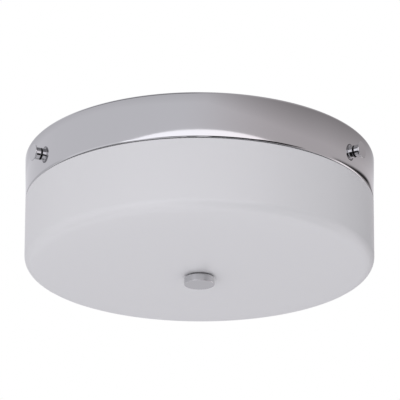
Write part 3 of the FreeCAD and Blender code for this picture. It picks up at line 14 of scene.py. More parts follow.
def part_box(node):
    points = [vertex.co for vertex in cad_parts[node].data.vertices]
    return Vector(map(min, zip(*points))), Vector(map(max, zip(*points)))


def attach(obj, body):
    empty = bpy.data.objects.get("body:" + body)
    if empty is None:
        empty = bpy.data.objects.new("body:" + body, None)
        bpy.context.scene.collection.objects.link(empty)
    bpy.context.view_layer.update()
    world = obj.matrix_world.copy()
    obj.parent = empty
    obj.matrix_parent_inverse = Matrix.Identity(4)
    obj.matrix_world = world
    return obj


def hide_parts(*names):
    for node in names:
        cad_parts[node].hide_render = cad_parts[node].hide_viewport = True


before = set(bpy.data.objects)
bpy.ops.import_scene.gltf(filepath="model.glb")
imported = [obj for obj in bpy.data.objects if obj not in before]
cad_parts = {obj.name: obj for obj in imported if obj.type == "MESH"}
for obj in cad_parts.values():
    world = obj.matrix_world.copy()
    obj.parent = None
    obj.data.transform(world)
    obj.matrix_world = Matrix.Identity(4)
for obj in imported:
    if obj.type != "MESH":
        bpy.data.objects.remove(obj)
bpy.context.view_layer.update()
MM = 0.001


# ---------------------------------------------------------------------------------------------------------
# The mounting plate. Pressed sheet steel with a dish in the middle, a stiffening bead, a turned rim and three
# folded lugs, powder coated white. It is screwed to the ceiling and carries everything else.
# ---------------------------------------------------------------------------------------------------------

MERGE_DISTANCE = 0.000001
PLATE_WHITE = (0.80, 0.80, 0.79)


def select_only(piece):
    bpy.ops.object.select_all(action="DESELECT")
    piece.select_set(True)
    bpy.context.view_layer.objects.active = piece


def smooth_copy(node, name, sharp=35):
    """A piece in its node's own form, with its facets merged and its round faces shaded smooth."""
    piece = bpy.data.objects.new(name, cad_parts[node].data.copy())
    bpy.context.collection.objects.link(piece)
    select_only(piece)
    bpy.ops.mesh.customdata_custom_splitnormals_clear()
    bpy.ops.object.mode_set(mode="EDIT")
    bpy.ops.mesh.select_all(action="SELECT")
    bpy.ops.mesh.remove_doubles(threshold=MERGE_DISTANCE)
    bpy.ops.object.mode_set(mode="OBJECT")
    bpy.ops.object.shade_smooth_by_angle(angle=math.radians(sharp))
    return piece


def fit(piece, material, slot, body, *nodes):
    """Gives a piece its material and the body that it moves with, and lets it stand for its nodes."""
    piece.data.materials.clear()
    piece.data.materials.append(material)
    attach(piece, body)
    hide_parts(*nodes)


def new_group(name, inputs, outputs):
    """A node group with its sockets: name and default for an input, name and kind for an output."""
    group = bpy.data.node_groups.new(name, "ShaderNodeTree")
    for label, default in inputs:
        kind = "NodeSocketColor" if isinstance(default, tuple) else "NodeSocketFloat"
        socket = group.interface.new_socket(label, in_out="INPUT", socket_type=kind)
        socket.default_value = default
    for label, kind in outputs:
        group.interface.new_socket(label, in_out="OUTPUT", socket_type=kind)
    return group, group.nodes.new("NodeGroupInput"), group.nodes.new("NodeGroupOutput")


def maths(tree, operation, first, second):
    """A maths node on two values, each a socket or a number."""
    node = tree.nodes.new("ShaderNodeMath")
    node.operation = operation
    for slot_number, value in enumerate((first, second)):
        if isinstance(value, bpy.types.NodeSocket):
            tree.links.new(value, node.inputs[slot_number])
        else:
            node.inputs[slot_number].default_value = value
    return node.outputs[0]


# A finish that is never quite even: broad soft patches change the colour and the polish a little.
uneven, uneven_in, uneven_out = new_group(
    "Uneven finish",
    [("Colour", (0.8, 0.8, 0.8, 1.0)), ("Colour change", 0.03), ("Roughness", 0.4),
     ("Roughness change", 0.05), ("Patches per metre", 30.0)],
    [("Colour", "NodeSocketColor"), ("Roughness", "NodeSocketFloat")],
)
place = uneven.nodes.new("ShaderNodeTexCoord")
patches = uneven.nodes.new("ShaderNodeTexNoise")
patches.inputs["Detail"].default_value = 5.0
uneven.links.new(place.outputs["Object"], patches.inputs["Vector"])
uneven.links.new(uneven_in.outputs["Patches per metre"], patches.inputs["Scale"])
swing = maths(uneven, "SUBTRACT", patches.outputs["Fac"], 0.5)
tint = uneven.nodes.new("ShaderNodeHueSaturation")
uneven.links.new(uneven_in.outputs["Colour"], tint.inputs["Color"])
brightness = maths(uneven, "MULTIPLY", swing, uneven_in.outputs["Colour change"])
uneven.links.new(maths(uneven, "ADD", brightness, 1.0), tint.inputs["Value"])
uneven.links.new(tint.outputs["Color"], uneven_out.inputs["Colour"])
polish = maths(uneven, "MULTIPLY", swing, uneven_in.outputs["Roughness change"])
uneven.links.new(maths(uneven, "ADD", polish, uneven_in.outputs["Roughness"]), uneven_out.inputs["Roughness"])

# A fine grain to press into a surface, from a noise at the grain's own size.
grain, grain_in, grain_out = new_group(
    "Fine grain", [("Grains per metre", 2000.0), ("Softness", 2.0)], [("Height", "NodeSocketFloat")])
place = grain.nodes.new("ShaderNodeTexCoord")
specks = grain.nodes.new("ShaderNodeTexNoise")
grain.links.new(place.outputs["Object"], specks.inputs["Vector"])
grain.links.new(grain_in.outputs["Grains per metre"], specks.inputs["Scale"])
grain.links.new(grain_in.outputs["Softness"], specks.inputs["Detail"])
grain.links.new(specks.outputs["Fac"], grain_out.inputs["Height"])


def new_material(name, colour, roughness, metallic=0.0, colour_change=0.03, roughness_change=0.05,
                 patches_per_metre=30.0, grains_per_metre=2000.0, grain_depth=0.0):
    """A material with an uneven finish and, if it has a depth, a fine grain."""
    material = bpy.data.materials.new(name)
    material.use_nodes = True
    tree = material.node_tree
    surface = tree.nodes["Principled BSDF"]
    surface.inputs["Metallic"].default_value = metallic
    finish = tree.nodes.new("ShaderNodeGroup")
    finish.node_tree = uneven
    finish.inputs["Colour"].default_value = (*colour, 1.0)
    finish.inputs["Colour change"].default_value = colour_change
    finish.inputs["Roughness"].default_value = roughness
    finish.inputs["Roughness change"].default_value = roughness_change
    finish.inputs["Patches per metre"].default_value = patches_per_metre
    tree.links.new(finish.outputs["Colour"], surface.inputs["Base Color"])
    tree.links.new(finish.outputs["Roughness"], surface.inputs["Roughness"])
    if grain_depth:
        texture = tree.nodes.new("ShaderNodeGroup")
        texture.node_tree = grain
        texture.inputs["Grains per metre"].default_value = grains_per_metre
        bump = tree.nodes.new("ShaderNodeBump")
        bump.inputs["Distance"].default_value = grain_depth
        tree.links.new(texture.outputs["Height"], bump.inputs["Height"])
        tree.links.new(bump.outputs["Normal"], surface.inputs["Normal"])
    return material


powder_coat = new_material("white powder coat", PLATE_WHITE, 0.42, grains_per_metre=900.0,
                           grain_depth=0.00012)
fit(smooth_copy("mounting_plate", "ceiling_plate"), powder_coat, "plate_coat", "root", "mounting_plate")


# ---------------------------------------------------------------------------------------------------------
# The foam strip that seals the skirt to the ceiling, in three lengths between the lugs. Closed-cell foam,
# pale grey, with its cut cells showing.
# ---------------------------------------------------------------------------------------------------------

foam = new_material("closed cell foam", (0.66, 0.66, 0.65), 0.9, colour_change=0.12,
                    patches_per_metre=400.0, grains_per_metre=1800.0, grain_depth=0.0004)
fit(smooth_copy("ceiling_gasket", "foam_strip"), foam, "foam", "root", "ceiling_gasket")


# ---------------------------------------------------------------------------------------------------------
# The grommet of the cable hole. Moulded black rubber, pushed into the hole so that its groove grips the
# plate's edge.
# ---------------------------------------------------------------------------------------------------------

black_rubber = new_material("black rubber", (0.020, 0.020, 0.021), 0.62, colour_change=0.2,
                            roughness_change=0.15, grains_per_metre=3000.0, grain_depth=0.00005)
fit(smooth_copy("cable_grommet", "cable_hole_grommet"), black_rubber, "black_rubber", "root",
    "cable_grommet")


# ---------------------------------------------------------------------------------------------------------
# The centre rod. Zinc plated steel, threaded M10 x 1 from end to end; its crests and roots are a helix. It
# hangs from the plate's dish and holds the finial at its foot.
# ---------------------------------------------------------------------------------------------------------

ZINC = (0.66, 0.67, 0.69)
SHARP_EDGE = math.radians(30)
ROD_PITCH = 1.0
ROD_CHAMFER = 0.8
TURN_STEPS = 24
THREAD_SHARE = 0.613
FLANK_SHARE = 3 / 8
CREST_SHARE = 1 / 8
BLANK_SHARE = 1 / 20
END_SHARE = 1 / 4
SPARE_TURNS = 2


def threaded_bar(name, radius, pitch, low, high, chamfer):
    """A bar along Z with a cut thread: a flank, crest, flank and root are screwed up into a helix, and then a
    chamfered blank, a little larger than the thread, takes its ends to length."""
    depth = pitch * THREAD_SHARE
    bpy.ops.mesh.primitive_plane_add(size=pitch, location=(0, 0, 0))
    bar = bpy.context.object
    bar.name = name
    bpy.ops.object.mode_set(mode="EDIT")
    bpy.ops.mesh.select_all(action="SELECT")
    bpy.ops.mesh.merge(type="CENTER")
    bpy.ops.transform.translate(value=(radius - depth, 0, low - pitch * SPARE_TURNS))
    for across, up in ((depth, FLANK_SHARE), (0, CREST_SHARE), (-depth, FLANK_SHARE), (0, CREST_SHARE)):
        bpy.ops.mesh.extrude_region_move(TRANSFORM_OT_translate={"value": (across, 0, up * pitch)})
    bpy.ops.object.mode_set(mode="OBJECT")
    thread = bar.modifiers.new("thread", "SCREW")
    thread.axis = "Z"
    thread.screw_offset = pitch
    thread.iterations = math.ceil((high - low) / pitch) + SPARE_TURNS * 2
    thread.steps = TURN_STEPS
    thread.render_steps = TURN_STEPS
    thread.use_merge_vertices = True
    thread.merge_threshold = MERGE_DISTANCE
    select_only(bar)
    bpy.ops.object.modifier_apply(modifier="thread")
    bpy.ops.object.mode_set(mode="EDIT")
    for level, upwards in ((low - pitch * END_SHARE, -1), (high + pitch * END_SHARE, 1)):
        bpy.ops.mesh.select_all(action="SELECT")
        bpy.ops.mesh.bisect(plane_co=(0, 0, level), plane_no=(0, 0, upwards), use_fill=True,
                            clear_outer=True)
    bpy.ops.mesh.select_all(action="SELECT")
    bpy.ops.mesh.remove_doubles(threshold=MERGE_DISTANCE)
    bpy.ops.mesh.normals_make_consistent(inside=False)
    bpy.ops.object.mode_set(mode="OBJECT")

    spare = pitch * BLANK_SHARE
    bpy.ops.mesh.primitive_cylinder_add(vertices=TURN_STEPS * 2, radius=radius + spare, depth=high - low,
                                        location=(0, 0, (high + low) / 2))
    blank = bpy.context.object
    bpy.ops.object.mode_set(mode="EDIT")
    blank_mesh = bmesh.from_edit_mesh(blank.data)
    for edge in blank_mesh.edges:
        edge.select = abs(edge.verts[0].co.z - edge.verts[1].co.z) < spare
    bpy.ops.mesh.bevel(offset=chamfer + spare, segments=1)
    bpy.ops.object.mode_set(mode="OBJECT")
    trim = bar.modifiers.new("trim", "BOOLEAN")
    trim.operation = "INTERSECT"
    trim.object = blank
    select_only(bar)
    bpy.ops.object.modifier_apply(modifier="trim")
    bpy.data.objects.remove(blank)
    bpy.ops.object.transform_apply(location=True, rotation=True, scale=True)
    bpy.ops.object.shade_smooth_by_angle(angle=SHARP_EDGE)
    return bar


zinc = new_material("zinc plate", ZINC, 0.30, metallic=1.0, colour_change=0.08, roughness_change=0.14,
                    patches_per_metre=90.0, grains_per_metre=2500.0, grain_depth=0.00003)
rod_low, rod_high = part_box("centre_rod")
rod = threaded_bar("threaded_rod", rod_high.x, ROD_PITCH * MM, rod_low.z, rod_high.z, ROD_CHAMFER * MM)
fit(rod, zinc, "rod_steel", "root", "centre_rod")


# ---------------------------------------------------------------------------------------------------------
# The rod's nuts and washers: the upper nut in the dish and the flat washer, spring washer and lower nut under
# it clamp the rod; the stop nut and stop washer further down set how far the glass can be drawn up.
# ---------------------------------------------------------------------------------------------------------

for node, name in (("rod_nut_upper", "dish_nut"), ("rod_washers", "clamp_washers"),
                   ("rod_nut_lower", "clamp_nut"), ("stop_washer", "glass_stop_washer"),
                   ("stop_nut", "glass_stop_nut")):
    fit(smooth_copy(node, name), zinc, "zinc_fasteners", "root", node)


# ---------------------------------------------------------------------------------------------------------
# The nuts of the lugs. Zinc plated steel, one welded inside each lug of the plate, where the stud of a knob
# screws in.
# ---------------------------------------------------------------------------------------------------------

fit(smooth_copy("lug_nuts", "weld_nuts"), zinc, "zinc_fasteners", "root", "lug_nuts")


# ---------------------------------------------------------------------------------------------------------
# The lampholders: an oval block of white steatite with a barrel for the lamp, on a folded and zinc plated
# bracket. Two screws hold each block to its bracket and two hold each bracket's foot to the plate.
# ---------------------------------------------------------------------------------------------------------

bracket_zinc = new_material("bracket zinc", (0.62, 0.63, 0.65), 0.36, metallic=1.0, colour_change=0.10,
                            roughness_change=0.12, patches_per_metre=60.0)
steatite = new_material("steatite", (0.80, 0.78, 0.73), 0.48, colour_change=0.05,
                        patches_per_metre=300.0, grains_per_metre=2600.0, grain_depth=0.00005)
spring_bronze = new_material("spring bronze", (0.66, 0.44, 0.26), 0.30, metallic=1.0, colour_change=0.10,
                             patches_per_metre=200.0)
for number in (1, 2, 3):
    fit(smooth_copy(f"holder_bracket_{number}", f"bracket_{number}"), bracket_zinc, "bracket_steel",
        "root", f"holder_bracket_{number}")
    fit(smooth_copy(f"lampholder_{number}", f"lamp_socket_{number}"), steatite, "porcelain", "root",
        f"lampholder_{number}")
fit(smooth_copy("holder_contacts", "socket_contacts"), spring_bronze, "bronze", "root", "holder_contacts")
for node, name in (("holder_screws", "socket_screws"), ("bracket_screws", "foot_screws")):
    fit(smooth_copy(node, name), zinc, "zinc_fasteners", "root", node)


# ---------------------------------------------------------------------------------------------------------
# The terminal block: a cream moulding with three brass inserts and their clamp screws, and two long screws
# that hold it to the plate.
# ---------------------------------------------------------------------------------------------------------

block_cream = new_material("block moulding", (0.78, 0.75, 0.66), 0.45, colour_change=0.04)
brass = new_material("brass", (0.78, 0.58, 0.27), 0.28, metallic=1.0, colour_change=0.08,
                     patches_per_metre=200.0)
fit(smooth_copy("terminal_block", "connector_block"), block_cream, "block_plastic", "root",
    "terminal_block")
fit(smooth_copy("terminal_inserts", "connector_inserts"), brass, "brass", "root", "terminal_inserts")
for node, name in (("terminal_screws", "clamp_screws"), ("terminal_fixing_screws", "block_screws")):
    fit(smooth_copy(node, name), zinc, "zinc_fasteners", "root", node)


# ---------------------------------------------------------------------------------------------------------
# Earth: a brass screw with a toothed washer clamps the lead's ring tag to the plate. The lead's insulation
# is green with a yellow stripe along it.
# ---------------------------------------------------------------------------------------------------------

EARTH_GREEN = (0.05, 0.30, 0.07)
EARTH_YELLOW = (0.75, 0.62, 0.04)
STRIPE_LEVEL = -0.3


def mixed_colour(tree, share, first, second):
    """The first colour where the share is 0 and the second where it is 1, each a socket or three numbers."""
    mix = tree.nodes.new("ShaderNodeMix")
    mix.data_type = "RGBA"
    tree.links.new(share, mix.inputs["Factor"])
    for label, colour in (("A", first), ("B", second)):
        if isinstance(colour, bpy.types.NodeSocket):
            tree.links.new(colour, mix.inputs[label])
        else:
            mix.inputs[label].default_value = (*colour, 1.0)
    return mix.outputs["Result"]


earth_insulation = new_material("green and yellow insulation", EARTH_GREEN, 0.42)
tree = earth_insulation.node_tree
surface = tree.nodes["Principled BSDF"]
place = tree.nodes.new("ShaderNodeTexCoord")
split = tree.nodes.new("ShaderNodeSeparateXYZ")
tree.links.new(place.outputs["Normal"], split.inputs[0])
stripe = maths(tree, "LESS_THAN", split.outputs["Z"], STRIPE_LEVEL)
tree.links.new(mixed_colour(tree, stripe, EARTH_GREEN, EARTH_YELLOW), surface.inputs["Base Color"])
fit(smooth_copy("earth_screw", "earth_clamp_screw"), brass, "brass", "root", "earth_screw")
fit(smooth_copy("earth_tag", "earth_ring_tag"), brass, "brass", "root", "earth_tag")
fit(smooth_copy("earth_washer", "toothed_washer"), zinc, "zinc_fasteners", "root", "earth_washer")
fit(smooth_copy("earth_lead", "earth_wire", sharp=60), earth_insulation, "earth_insulation", "root",
    "earth_lead")


# ---------------------------------------------------------------------------------------------------------
# The lamps' leads: a pair from each lampholder to the terminal block, silicone insulated for the heat. Two
# nylon clips hold them on their way.
# ---------------------------------------------------------------------------------------------------------

silicone_lead = new_material("lead insulation", (0.80, 0.77, 0.70), 0.50, colour_change=0.06,
                             patches_per_metre=150.0)
nylon = new_material("natural nylon", (0.80, 0.79, 0.74), 0.38)
for number in (1, 2, 3):
    fit(smooth_copy(f"lamp_leads_{number}", f"socket_wires_{number}", sharp=60), silicone_lead,
        "lead_insulation", "root", f"lamp_leads_{number}")
fit(smooth_copy("lead_clips", "wire_clips"), nylon, "nylon", "root", "lead_clips")


# ---------------------------------------------------------------------------------------------------------
# The push-in lamps: a ceramic base with two flattened wire pins, and a capsule of frosted glass. The pins
# push into the contacts of a lampholder.
# ---------------------------------------------------------------------------------------------------------

lamp_ceramic = new_material("lamp ceramic", (0.82, 0.80, 0.76), 0.40)
nickel = new_material("nickel wire", (0.70, 0.68, 0.64), 0.25, metallic=1.0)
frosted = new_material("frosted glass", (0.86, 0.87, 0.88), 0.45)
surface = frosted.node_tree.nodes["Principled BSDF"]
surface.inputs["Transmission Weight"].default_value = 0.35
surface.inputs["IOR"].default_value = 1.5
for number in (1, 2, 3):
    body = f"lamp_{number}"
    fit(smooth_copy(f"lamp_base_{number}", f"capsule_base_{number}"), lamp_ceramic, "lamp_ceramic", body,
        f"lamp_base_{number}")
    fit(smooth_copy(f"lamp_pins_{number}", f"capsule_pins_{number}"), nickel, "pin_nickel", body,
        f"lamp_pins_{number}")
    fit(smooth_copy(f"lamp_capsule_{number}", f"capsule_{number}"), frosted, "frosted_glass", body,
        f"lamp_capsule_{number}")


# ---------------------------------------------------------------------------------------------------------
# The skirt. Thin sheet steel, spun to a ring with a turned-in top flange, a slightly tapered wall and a
# rolled lower rim, then polished and chrome plated. Notches in its flange pass the lugs, and holes the studs.
# ---------------------------------------------------------------------------------------------------------

RING_STEPS = 360
ARC_STEPS = 10
CHROME = (0.60, 0.60, 0.61)
KNOB_ANGLES = (90, 210, 330)
KNOB_LEVEL = -24.0
SKIRT_SHEET = 0.8
SKIRT_TOP_RADIUS = 175.0
SKIRT_FOOT_RADIUS = 173.0
FLANGE_RADIUS = 165.0
RIM_RADIUS = 161.0
SHOULDER_BEND = 2.0
ROLL_BEND = 2.3
NOTCH_SIZE = (16.0, 28.0, 5.0)
HOLE_RADIUS = 2.75
HOLE_DEPTH = 12.0
HOLE_CENTRE = 174.0
HOLE_STEPS = 48
WALL_TOP = -3.0
skirt_low, skirt_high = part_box("pan_skirt")
SKIRT_TOP = skirt_high.z / MM
SKIRT_FOOT = skirt_low.z / MM


def rounded(corners, arc_steps=ARC_STEPS):
    """The points of an outline in millimetres; a corner's third value, if it has one, is its radius."""
    points = []
    count = len(corners)
    for index, corner in enumerate(corners):
        here = Vector(corner[:2])
        if len(corner) < 3:
            points.append(here)
            continue
        back = (Vector(corners[index - 1][:2]) - here).normalized()
        ahead = (Vector(corners[(index + 1) % count][:2]) - here).normalized()
        half = back.angle(ahead) / 2
        centre = here + (back + ahead).normalized() * (corner[2] / math.sin(half))
        start = here + back * (corner[2] / math.tan(half)) - centre
        turn = (math.pi - 2 * half) * (1 if ahead.cross(back) > 0 else -1)
        for step in range(arc_steps + 1):
            points.append(centre + Matrix.Rotation(turn * step / arc_steps, 2) @ start)
    return points


def true_mirror(piece):
    """Smooth shading in which a long face keeps its own direction, so that it mirrors as flat sheet does."""
    select_only(piece)
    bpy.ops.object.shade_smooth_by_angle(angle=SHARP_EDGE)
    weighting = piece.modifiers.new("long faces lead", "WEIGHTED_NORMAL")
    weighting.mode = "FACE_AREA"
    weighting.weight = 100
    weighting.keep_sharp = True
    bpy.ops.object.modifier_apply(modifier=weighting.name)


def turned(name, points, steps=RING_STEPS):
    """A piece of revolution about Z: one point is drawn out along the outline, and the line is spun round."""
    bpy.ops.mesh.primitive_plane_add(size=MM, location=(0, 0, 0))
    piece = bpy.context.object
    piece.name = name
    bpy.ops.object.mode_set(mode="EDIT")
    bpy.ops.mesh.select_all(action="SELECT")
    bpy.ops.mesh.merge(type="CENTER")
    bpy.ops.transform.translate(value=(points[0].x * MM, 0, points[0].y * MM))
    last = points[0]
    for point in points[1:] + points[:1]:
        stretch = (point - last) * MM
        bpy.ops.mesh.extrude_region_move(TRANSFORM_OT_translate={"value": (stretch.x, 0, stretch.y)})
        last = point
    bpy.ops.mesh.select_all(action="SELECT")
    bpy.ops.mesh.remove_doubles(threshold=MERGE_DISTANCE)
    bpy.ops.mesh.spin(steps=steps, angle=math.tau, center=(0, 0, 0), axis=(0, 0, 1))
    bpy.ops.mesh.select_all(action="SELECT")
    bpy.ops.mesh.remove_doubles(threshold=MERGE_DISTANCE)
    bpy.ops.mesh.normals_make_consistent(inside=False)
    bpy.ops.object.mode_set(mode="OBJECT")
    true_mirror(piece)
    return piece


def cut_away(piece, tool):
    """Takes a tool's shape out of a piece and throws the tool away."""
    opening = piece.modifiers.new("opening", "BOOLEAN")
    opening.operation = "DIFFERENCE"
    opening.object = tool
    select_only(piece)
    bpy.ops.object.modifier_apply(modifier="opening")
    bpy.data.objects.remove(tool)


skirt = turned("chrome_skirt", rounded([
    (FLANGE_RADIUS, SKIRT_TOP), (SKIRT_TOP_RADIUS, SKIRT_TOP, SHOULDER_BEND),
    (SKIRT_FOOT_RADIUS, SKIRT_FOOT, ROLL_BEND), (RIM_RADIUS, SKIRT_FOOT),
    (RIM_RADIUS, SKIRT_FOOT + SKIRT_SHEET),
    (SKIRT_FOOT_RADIUS - SKIRT_SHEET, SKIRT_FOOT + SKIRT_SHEET, ROLL_BEND - SKIRT_SHEET),
    (SKIRT_TOP_RADIUS - SKIRT_SHEET, SKIRT_TOP - SKIRT_SHEET, SHOULDER_BEND - SKIRT_SHEET),
    (FLANGE_RADIUS, SKIRT_TOP - SKIRT_SHEET),
]))
uncut = skirt.copy()
uncut.data = skirt.data.copy()
bpy.context.collection.objects.link(uncut)
for angle in KNOB_ANGLES:
    outwards = Vector((math.cos(math.radians(angle)), math.sin(math.radians(angle)), 0))
    bpy.ops.mesh.primitive_cube_add(
        size=1, location=outwards * FLANGE_RADIUS * MM, rotation=(0, 0, math.radians(angle)),
        scale=[size * MM for size in NOTCH_SIZE])
    cut_away(skirt, bpy.context.object)
    bpy.ops.mesh.primitive_cylinder_add(
        vertices=HOLE_STEPS, radius=HOLE_RADIUS * MM, depth=HOLE_DEPTH * MM,
        location=outwards * HOLE_CENTRE * MM + Vector((0, 0, KNOB_LEVEL * MM)),
        rotation=(0, math.pi / 2, math.radians(angle)))
    cut_away(skirt, bpy.context.object)
true_mirror(skirt)

# The holes would dent the mirror round them, so the wall takes its normals from the ring as it was uncut.
wall = skirt.vertex_groups.new(name="wall")
wall.add([vertex.index for vertex in skirt.data.vertices if vertex.co.z < WALL_TOP * MM], 1.0, "REPLACE")
curve = skirt.modifiers.new("curve of the uncut ring", "DATA_TRANSFER")
curve.object = uncut
curve.use_loop_data = True
curve.data_types_loops = {"CUSTOM_NORMAL"}
curve.loop_mapping = "POLYINTERP_NEAREST"
curve.vertex_group = "wall"
bpy.ops.object.modifier_apply(modifier=curve.name)
skirt.vertex_groups.clear()
bpy.data.objects.remove(uncut)
chrome = new_material("chrome plate", CHROME, 0.015, metallic=1.0, colour_change=0.015,
                      roughness_change=0.012, patches_per_metre=25.0)
fit(skirt, chrome, "chrome", "root", "pan_skirt")


# ---------------------------------------------------------------------------------------------------------
# The soft ring under the skirt's rolled rim. Silicone, moulded flat; the glass's rim comes up against it
# and can't ring on the steel. It is coloured near black as painted shade, for the shadow gap at the seam.
# ---------------------------------------------------------------------------------------------------------

# Near black: painted shade for the shadow in the gap between the chrome rim and the glass.
SEAM_SHADE_SILICONE_COLOUR = (0.035, 0.035, 0.037)
RING_BORE = 164.5
RING_EDGE = 170.7
RING_DEPTH = 0.8
silicone = new_material("silicone painted as seam shade", SEAM_SHADE_SILICONE_COLOUR, 0.45)
fit(turned("rim_ring", rounded([
    (RING_BORE, SKIRT_FOOT), (RING_EDGE, SKIRT_FOOT), (RING_EDGE, SKIRT_FOOT - RING_DEPTH),
    (RING_BORE, SKIRT_FOOT - RING_DEPTH),
])), silicone, "clear_silicone", "root", "glass_rim_seal")


# ---------------------------------------------------------------------------------------------------------
# The glass. Blown opal glass, white right through, with a satin skin: a drum that narrows slightly downwards,
# a rounded corner, a base that bulges, a melted rim and one hole in the middle.
# ---------------------------------------------------------------------------------------------------------

OPAL = (0.735, 0.729, 0.765)
GLASS_WALL = 4.0
GLASS_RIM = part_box("glass_shade")[1].z / MM
GLASS_RIM_RADIUS = 173.1
GLASS_FOOT_RADIUS = 171.5
GLASS_FOOT = -114.5
GLASS_CORNER = 11.0
GLASS_BULGE = 4.7
GLASS_HOLE = 8.5
BASE_STEPS = 16


def drum_side(inset):
    """One side of the glass, from the rim to the hole, as far inside the outer side as the inset says."""
    bulge_radius = (GLASS_FOOT_RADIUS * GLASS_FOOT_RADIUS + GLASS_BULGE * GLASS_BULGE) / (2 * GLASS_BULGE)
    bulge_centre = GLASS_FOOT - GLASS_BULGE + bulge_radius
    reach = bulge_radius - inset
    points = rounded([
        (GLASS_RIM_RADIUS - inset, GLASS_RIM),
        (GLASS_FOOT_RADIUS - inset, GLASS_FOOT + inset, GLASS_CORNER - inset), (0, GLASS_FOOT + inset),
    ])[:-1]
    start = points[-1].x
    for step in range(1, BASE_STEPS + 1):
        across = start + (GLASS_HOLE - start) * step / BASE_STEPS
        points.append(Vector((across, bulge_centre - math.sqrt(reach * reach - across * across))))
    return points


glass = turned("glass_drum", drum_side(0.0) + drum_side(GLASS_WALL)[::-1])
opal = new_material("opal glass", OPAL, 0.33, colour_change=0.012, roughness_change=0.06,
                    patches_per_metre=9.0)
fit(glass, opal, "opal_glass", "glass", "glass_shade")


# ---------------------------------------------------------------------------------------------------------
# The bushing in the glass's hole. Moulded silicone: a sleeve that keeps the finial's boss off the glass, with
# a flange inside the drum.
# ---------------------------------------------------------------------------------------------------------

fit(smooth_copy("glass_bushing", "hole_bushing"), silicone, "clear_silicone", "glass", "glass_bushing")


# ---------------------------------------------------------------------------------------------------------
# The finial and its rubber washer. A turned brass disc with a tapped boss that goes through the glass,
# polished and chrome plated; screwed on the rod, it carries the glass.
# ---------------------------------------------------------------------------------------------------------

DISC_RADIUS = 15.0
DISC_DEPTH = 7.0
DISC_EDGE = 0.5
BOSS_RADIUS = 7.0
BOSS_CHAMFER = 0.3
TAP_RADIUS = 5.05
TAP_FLOOR = 2.1
CUSHION_BORE = 7.3
CUSHION_RADIUS = 12.0
CUSHION_EDGE = 0.3
CUSHION_LIFT = 0.02
finial_low, finial_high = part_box("finial")
disc_foot, boss_top = finial_low.z / MM, finial_high.z / MM
disc_top = disc_foot + DISC_DEPTH
fit(turned("finial_knob", rounded([
    (0, disc_foot), (DISC_RADIUS, disc_foot, DISC_EDGE), (DISC_RADIUS, disc_top, DISC_EDGE),
    (BOSS_RADIUS, disc_top), (BOSS_RADIUS, boss_top - BOSS_CHAMFER), (BOSS_RADIUS - BOSS_CHAMFER, boss_top),
    (TAP_RADIUS + BOSS_CHAMFER, boss_top), (TAP_RADIUS, boss_top - BOSS_CHAMFER),
    (TAP_RADIUS, disc_foot + TAP_FLOOR), (0, disc_foot + TAP_FLOOR),
], arc_steps=6), steps=128), chrome, "chrome", "finial", "finial")
washer_low, washer_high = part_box("finial_washer")
cushion_foot, cushion_top = washer_low.z / MM + CUSHION_LIFT, washer_high.z / MM
fit(turned("finial_cushion", rounded([
    (CUSHION_BORE, cushion_foot, CUSHION_EDGE), (CUSHION_RADIUS, cushion_foot, CUSHION_EDGE),
    (CUSHION_RADIUS, cushion_top, CUSHION_EDGE), (CUSHION_BORE, cushion_top, CUSHION_EDGE),
], arc_steps=4), steps=96), black_rubber, "black_rubber", "finial_washer", "finial_washer")


# ---------------------------------------------------------------------------------------------------------
# The side knobs. Each is turned brass, chrome plated: a plain neck that flares to a thin lip, on a steel stud
# with an M5 thread, with a black rubber washer against the skirt. The stud screws into the nut of a lug.
# ---------------------------------------------------------------------------------------------------------

KNOB_SEAT = 174.3
KNOB_FOOT = 174.8
KNOB_NECK = 5.9
KNOB_LIP = 8.1
KNOB_FLARE = 2.0
KNOB_HEIGHT = 6.3
KNOB_EDGE = 0.3
LIP_FOOT = 5.6
SOCKET_RADIUS = 2.55
SOCKET_DEPTH = 5.2
PAD_BORE = 2.7
PAD_RADIUS = 5.7
PAD_DEPTH = KNOB_FOOT - KNOB_SEAT
PAD_EDGE = 0.15
STUD_RADIUS = 2.5
STUD_PITCH = 0.8
STUD_TIP = 165.4
STUD_TOP = 4.7
STUD_CHAMFER = 0.5

knob = turned("knob", rounded([
    (SOCKET_RADIUS, 0), (KNOB_NECK, 0, KNOB_EDGE), (KNOB_NECK, LIP_FOOT, KNOB_FLARE), (KNOB_LIP, LIP_FOOT),
    (KNOB_LIP, KNOB_HEIGHT, KNOB_EDGE), (0, KNOB_HEIGHT), (0, SOCKET_DEPTH), (SOCKET_RADIUS, SOCKET_DEPTH),
], arc_steps=8), steps=96)
pad = turned("pad", rounded([
    (PAD_BORE, 0), (PAD_RADIUS, 0, PAD_EDGE), (PAD_RADIUS, PAD_DEPTH, PAD_EDGE), (PAD_BORE, PAD_DEPTH),
], arc_steps=4), steps=64)
stud = threaded_bar("stud", STUD_RADIUS * MM, STUD_PITCH * MM, (STUD_TIP - KNOB_FOOT) * MM, STUD_TOP * MM,
                    STUD_CHAMFER * MM)
level = Matrix.Translation((0, 0, KNOB_LEVEL * MM))
for number, angle in enumerate(KNOB_ANGLES, 1):
    facing = Matrix.Rotation(math.radians(angle), 4, "Z") @ Matrix.Rotation(math.pi / 2, 4, "Y")
    for model, name, reach, material, slot, body, node in (
            (knob, "flared_knob", KNOB_FOOT, chrome, "chrome", "knob", "side_knob"),
            (pad, "knob_pad", KNOB_SEAT, black_rubber, "black_rubber", "knob_washer", "knob_washer"),
            (stud, "threaded_stud", KNOB_FOOT, zinc, "zinc_fasteners", "knob", "knob_stud")):
        piece = bpy.data.objects.new(f"{name}_{number}", model.data.copy())
        bpy.context.collection.objects.link(piece)
        piece.data.transform(level @ facing @ Matrix.Translation((0, 0, reach * MM)))
        fit(piece, material, slot, f"{body}_{number}", f"{node}_{number}")
for model in (knob, pad, stud):
    bpy.data.objects.remove(model)


